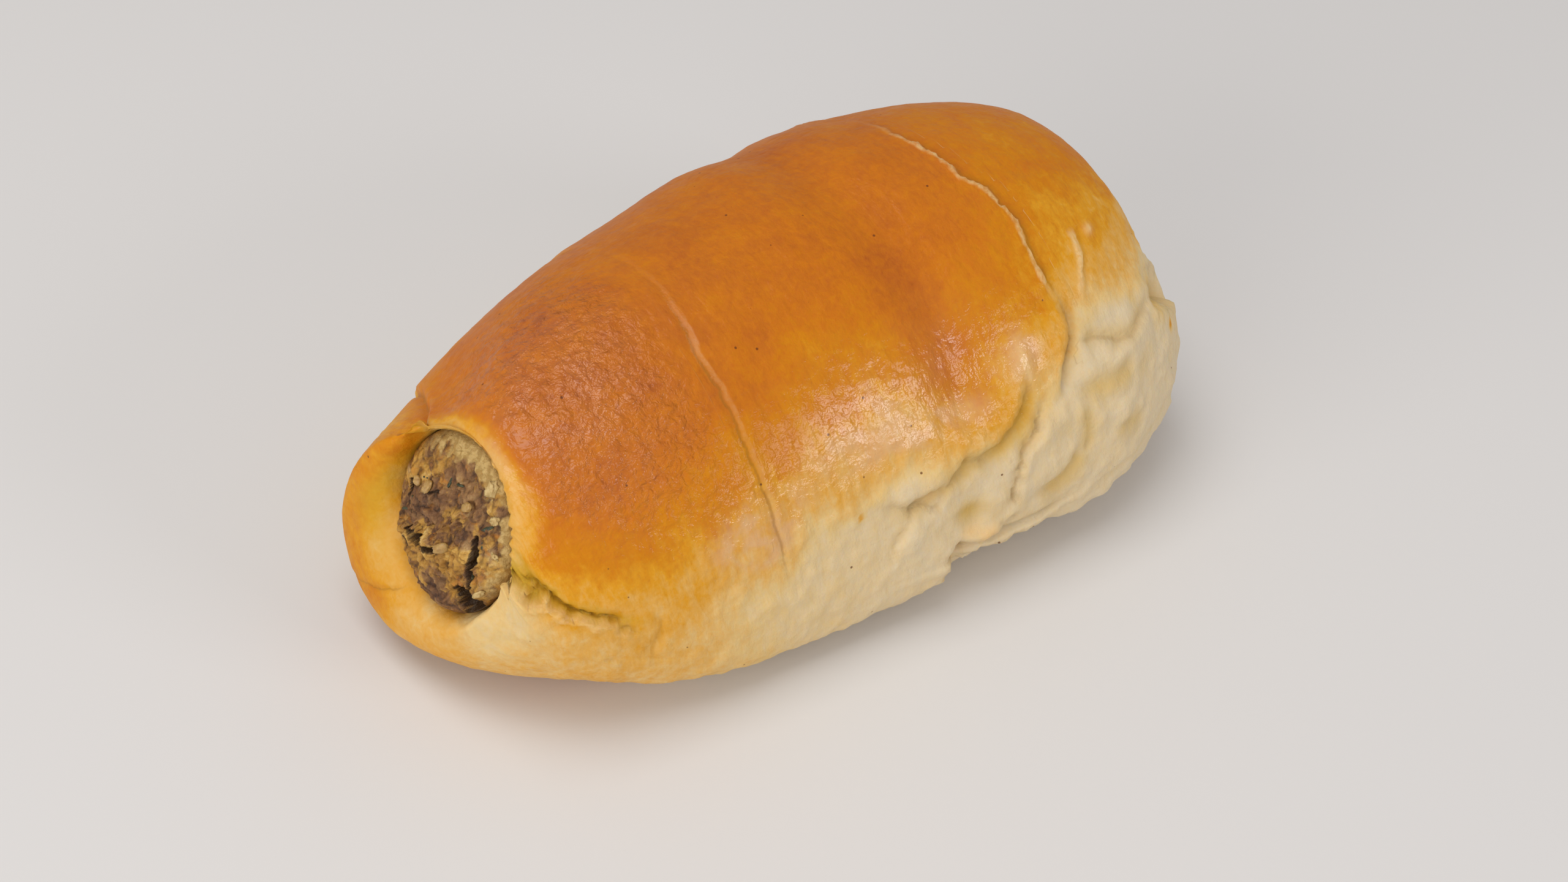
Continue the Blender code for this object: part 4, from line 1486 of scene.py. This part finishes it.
@dataclass(frozen=True)
class Bits:
    """Many small bits of one kind, joined to one mesh: lumpy, flattened balls.

    Attributes:
        name: name of the piece.
        spots: middle of each bit in mm, towards the back and up from the link's axis, on each face.
        sizes: half length, half width and half thickness of a bit in mm.
        finish: what they look like.
        slot: the record's slot that they take. Not used.
        vary: how much their sizes differ, from 0 to 1.
        lumpy: how uneven they are, as a share of their size.
        raised: how far their middles stand over the surface, as a share of the thickness.
        seed: changes how they lie.
        rows: rings of a bit, without its two ends.
        steps: points round a ring.
    """

    name: str
    spots: Route
    sizes: tuple[float, float, float]
    finish: BitFinish
    slot: Slot = Slot.BOUDIN
    vary: float = 0.35
    lumpy: float = 0.25
    raised: float = 0.3
    seed: int = 5
    rows: int = 9
    steps: int = 12

    def build(self, surfaces: list[Array], normals: list[Array], axis: Array) -> bpy.types.Object:
        """Lay the bits on the faces.

        A bit is a ball, stretched to its sizes, turned at random about the surface's normal
        and made uneven by noise.

        Args:
            surfaces: points of each face in mm.
            normals: their outward normals.
            axis: Y and Z of the link's axis, which the spots are measured from.

        Returns:
            The object.
        """
        maker = np.random.default_rng(self.seed)
        noise = SolidNoise(self.seed)
        nearest, first = [], 0
        for surface in surfaces:
            gaps = np.linalg.norm(surface[None, :, 1:] - axis - np.array(self.spots)[:, None], axis=-1)
            nearest.append(np.argmin(gaps, axis=1) + first)
            first += len(surface)
        nearest = np.concatenate(nearest)
        spots, up = np.concatenate(surfaces)[nearest], np.concatenate(normals)[nearest]
        level = unit(np.cross(up, np.array([0.31, 0.22, 0.92])))
        swing = maker.uniform(0.0, np.pi, len(spots))[:, None]
        side = level * np.cos(swing) + np.cross(up, level) * np.sin(swing)
        sizes = np.array(self.sizes) * (1.0 + self.vary * maker.uniform(-1.0, 1.0, (len(spots), 3)))
        polar = np.linspace(0.0, np.pi, self.rows + 2)[1:-1, None]
        turn = np.linspace(0.0, 2.0 * np.pi, self.steps, endpoint=False)[None, :]
        ball = np.stack([np.sin(polar) * np.cos(turn), np.sin(polar) * np.sin(turn), np.cos(polar) + 0.0 * turn],
                        axis=-1)
        ball = np.concatenate([[[0.0, 0.0, 1.0]], ball.reshape(-1, 3), [[0.0, 0.0, -1.0]]])
        own = np.arange(len(spots))[:, None, None]
        swell = 1.0 + self.lumpy * noise.layered(ball[None] * 1.3 + own * 9.7, 1.0, 2)
        shapes = ball[None] * sizes[:, None] * swell[..., None]
        frames = np.stack([side, np.cross(up, side), up], axis=1)
        middles = spots + up * (self.raised * sizes[:, 2:])
        points = np.einsum("bpk,bkj->bpj", shapes, frames) + middles[:, None]
        index = np.arange(self.rows * self.steps).reshape(self.rows, self.steps) + 1
        faces = []
        for corners in (strips(index), caps(index, 0, index[-1, -1] + 1)):
            faces += (corners[None] + own * ball.shape[0]).reshape(-1, corners.shape[1]).tolist()
        piece = grid_mesh(self.name, points.reshape(-1, 3), faces)
        return dress(piece, self.finish.material())


@dataclass(frozen=True)
class Lamp:
    """A soft rectangular light.

    Attributes:
        name: its name.
        place: where it hangs, in metres.
        size: its width and height in metres.
        power: its power in watts.
        colour: its colour.
    """

    name: str
    place: tuple[float, float, float]
    size: tuple[float, float]
    power: float
    colour: Colour = (1.0, 1.0, 1.0)

    def hang(self) -> None:
        """Make the light, facing the middle of the roll."""
        data = bpy.data.lights.new(self.name, "AREA")
        data.shape = "RECTANGLE"
        data.size, data.size_y = self.size
        data.energy = self.power
        data.color = self.colour
        back = unit(np.array(self.place))
        side = unit(np.cross((0.0, 0.0, 1.0), back))
        turn = Matrix(np.stack([side, np.cross(back, side), back], axis=1).tolist())
        show(self.name, data).matrix_world = Matrix.Translation(self.place) @ turn.to_4x4()


@dataclass
class Studio:
    """Floor, lights and camera.

    Attributes:
        camera_place: where the camera stands, in metres.
        heading: how far it is turned from +Y towards +X, in degrees.
        pitch: how far it looks down, in degrees.
        roll: how far it is tipped, in degrees.
        lens: focal length in mm.
        lamps: the lights.
        ambient: colour of the light from all round.
        ambient_strength: its strength.
        floor_reach: half the floor's width in metres.
    """

    camera_place: tuple[float, float, float] = (-0.195462, -0.231466, 0.274)
    heading: float = 40.745
    pitch: float = 41.08
    roll: float = 1.56
    lens: float = 57.417
    lamps: tuple[Lamp, ...] = (
        Lamp("overhead", (-0.20, 0.02, 0.85), (0.62, 0.5), 2.9, (1.0, 0.975, 0.96)),
        Lamp("window", (0.32, -0.86, 0.42), (0.36, 0.22), 1.68, (1.0, 0.97, 0.99)),
        Lamp("fill", (-0.98, -0.22, 0.32), (0.9, 0.5), 4.6, (1.0, 0.985, 0.97)),
    )
    ambient: Colour = (0.86, 0.86, 0.87)
    ambient_strength: float = 0.50
    floor_reach: float = 1.6

    def camera(self) -> None:
        """Put the camera where the photograph was taken from."""
        data = bpy.data.cameras.new("view")
        data.sensor_width = 36.0
        data.lens = self.lens
        data.clip_start = 0.01
        data.clip_end = 20.0
        camera = show("view", data)
        turn = Matrix.Rotation(math.radians(-self.heading), 4, "Z")
        turn = turn @ Matrix.Rotation(math.radians(90.0 - self.pitch), 4, "X")
        turn = turn @ Matrix.Rotation(math.radians(self.roll), 4, "Z")
        camera.matrix_world = Matrix.Translation(self.camera_place) @ turn
        bpy.context.scene.camera = camera

    def build(self) -> None:
        """Make the floor, lights, world and camera."""
        corners = [(x * self.floor_reach, y * self.floor_reach, 0.0) for x, y in ((-1, -1), (1, -1), (1, 1), (-1, 1))]
        mesh = bpy.data.meshes.new("floor")
        mesh.from_pydata(corners, [], [(0, 1, 2, 3)])
        mesh.materials.append(FloorFinish().material())
        show("floor", mesh)
        world = bpy.data.worlds.new("room")
        world.use_nodes = True
        sky = world.node_tree.nodes["Background"]
        sky.inputs["Color"].default_value = (*self.ambient, 1.0)
        sky.inputs["Strength"].default_value = self.ambient_strength
        bpy.context.scene.world = world
        for lamp in self.lamps:
            lamp.hang()
        self.camera()
        bpy.context.scene.view_settings.view_transform = "Standard"


HERB = BitFinish("herb_flake", from_screen(30, 34, 22), from_screen(62, 66, 34), 0.4, 0.45)
RICE = BitFinish("boiled_rice", from_screen(160, 122, 62), from_screen(186, 150, 88), 0.8, 0.38, 0.3)
TORN = BitFinish("torn_dough", from_screen(184, 152, 92), from_screen(204, 176, 118), 0.6, 0.6, 0.1)


def bits_for_faces() -> tuple[Bits, ...]:
    """Herb slivers, grains of rice and torn dough that lie on the near and far face.

    Returns:
        One entry a piece.
    """
    herbs = ((7.7, 0.9), (0.3, 7.7), (-1.4, 7.9), (-3.7, 9.2), (2.4, -7.3), (-8.7, 3), (-8.6, 5.2), (-9, -1.9),
             (5.6, 5.2), (-3, -8.4), (8.9, -2))
    grains = ((1.1, -2.8), (-2.8, -0.2), (3.9, 5), (-8.4, -4.6), (7.4, 3.4), (-4.2, 5.9))
    torn = ((-9.4, 6.6), (-11.2, 2), (-6.6, 9.8), (-10.6, -4))
    return (Bits("herb_slivers", herbs, (0.85, 0.27, 0.16), HERB, raised=0.9, seed=4),
            Bits("rice_grains", grains, (1.25, 0.72, 0.50), RICE, raised=-0.5, seed=7, lumpy=0.3),
            Bits("torn_crumb", torn, (0.90, 0.6, 0.35), TORN, slot=Slot.CRUST, raised=-0.2, seed=9, lumpy=0.9))


def main() -> None:
    """Build the studio, the dough, the boudin and its bits, and log how many faces each piece has."""
    logging.basicConfig(level=logging.INFO, format="%(message)s")
    Studio().build()
    link = BoudinLink()
    pieces = [DoughRoll().build(), link.build()]
    inner = slice(2, -2)
    faces = [link.face(end)[0] for end in End]
    surfaces = [face[inner].reshape(-1, 3) for face in faces]
    outward = [end.value * ring_normals(face)[inner].reshape(-1, 3) for end, face in zip(End, faces)]
    pieces += [bits.build(surfaces, outward, np.array(link.form.boudin_axis)) for bits in bits_for_faces()]
    for piece in pieces:
        log.info("%s: %d faces", piece.name, len(piece.data.polygons))


if __name__ == "__main__":
    main()
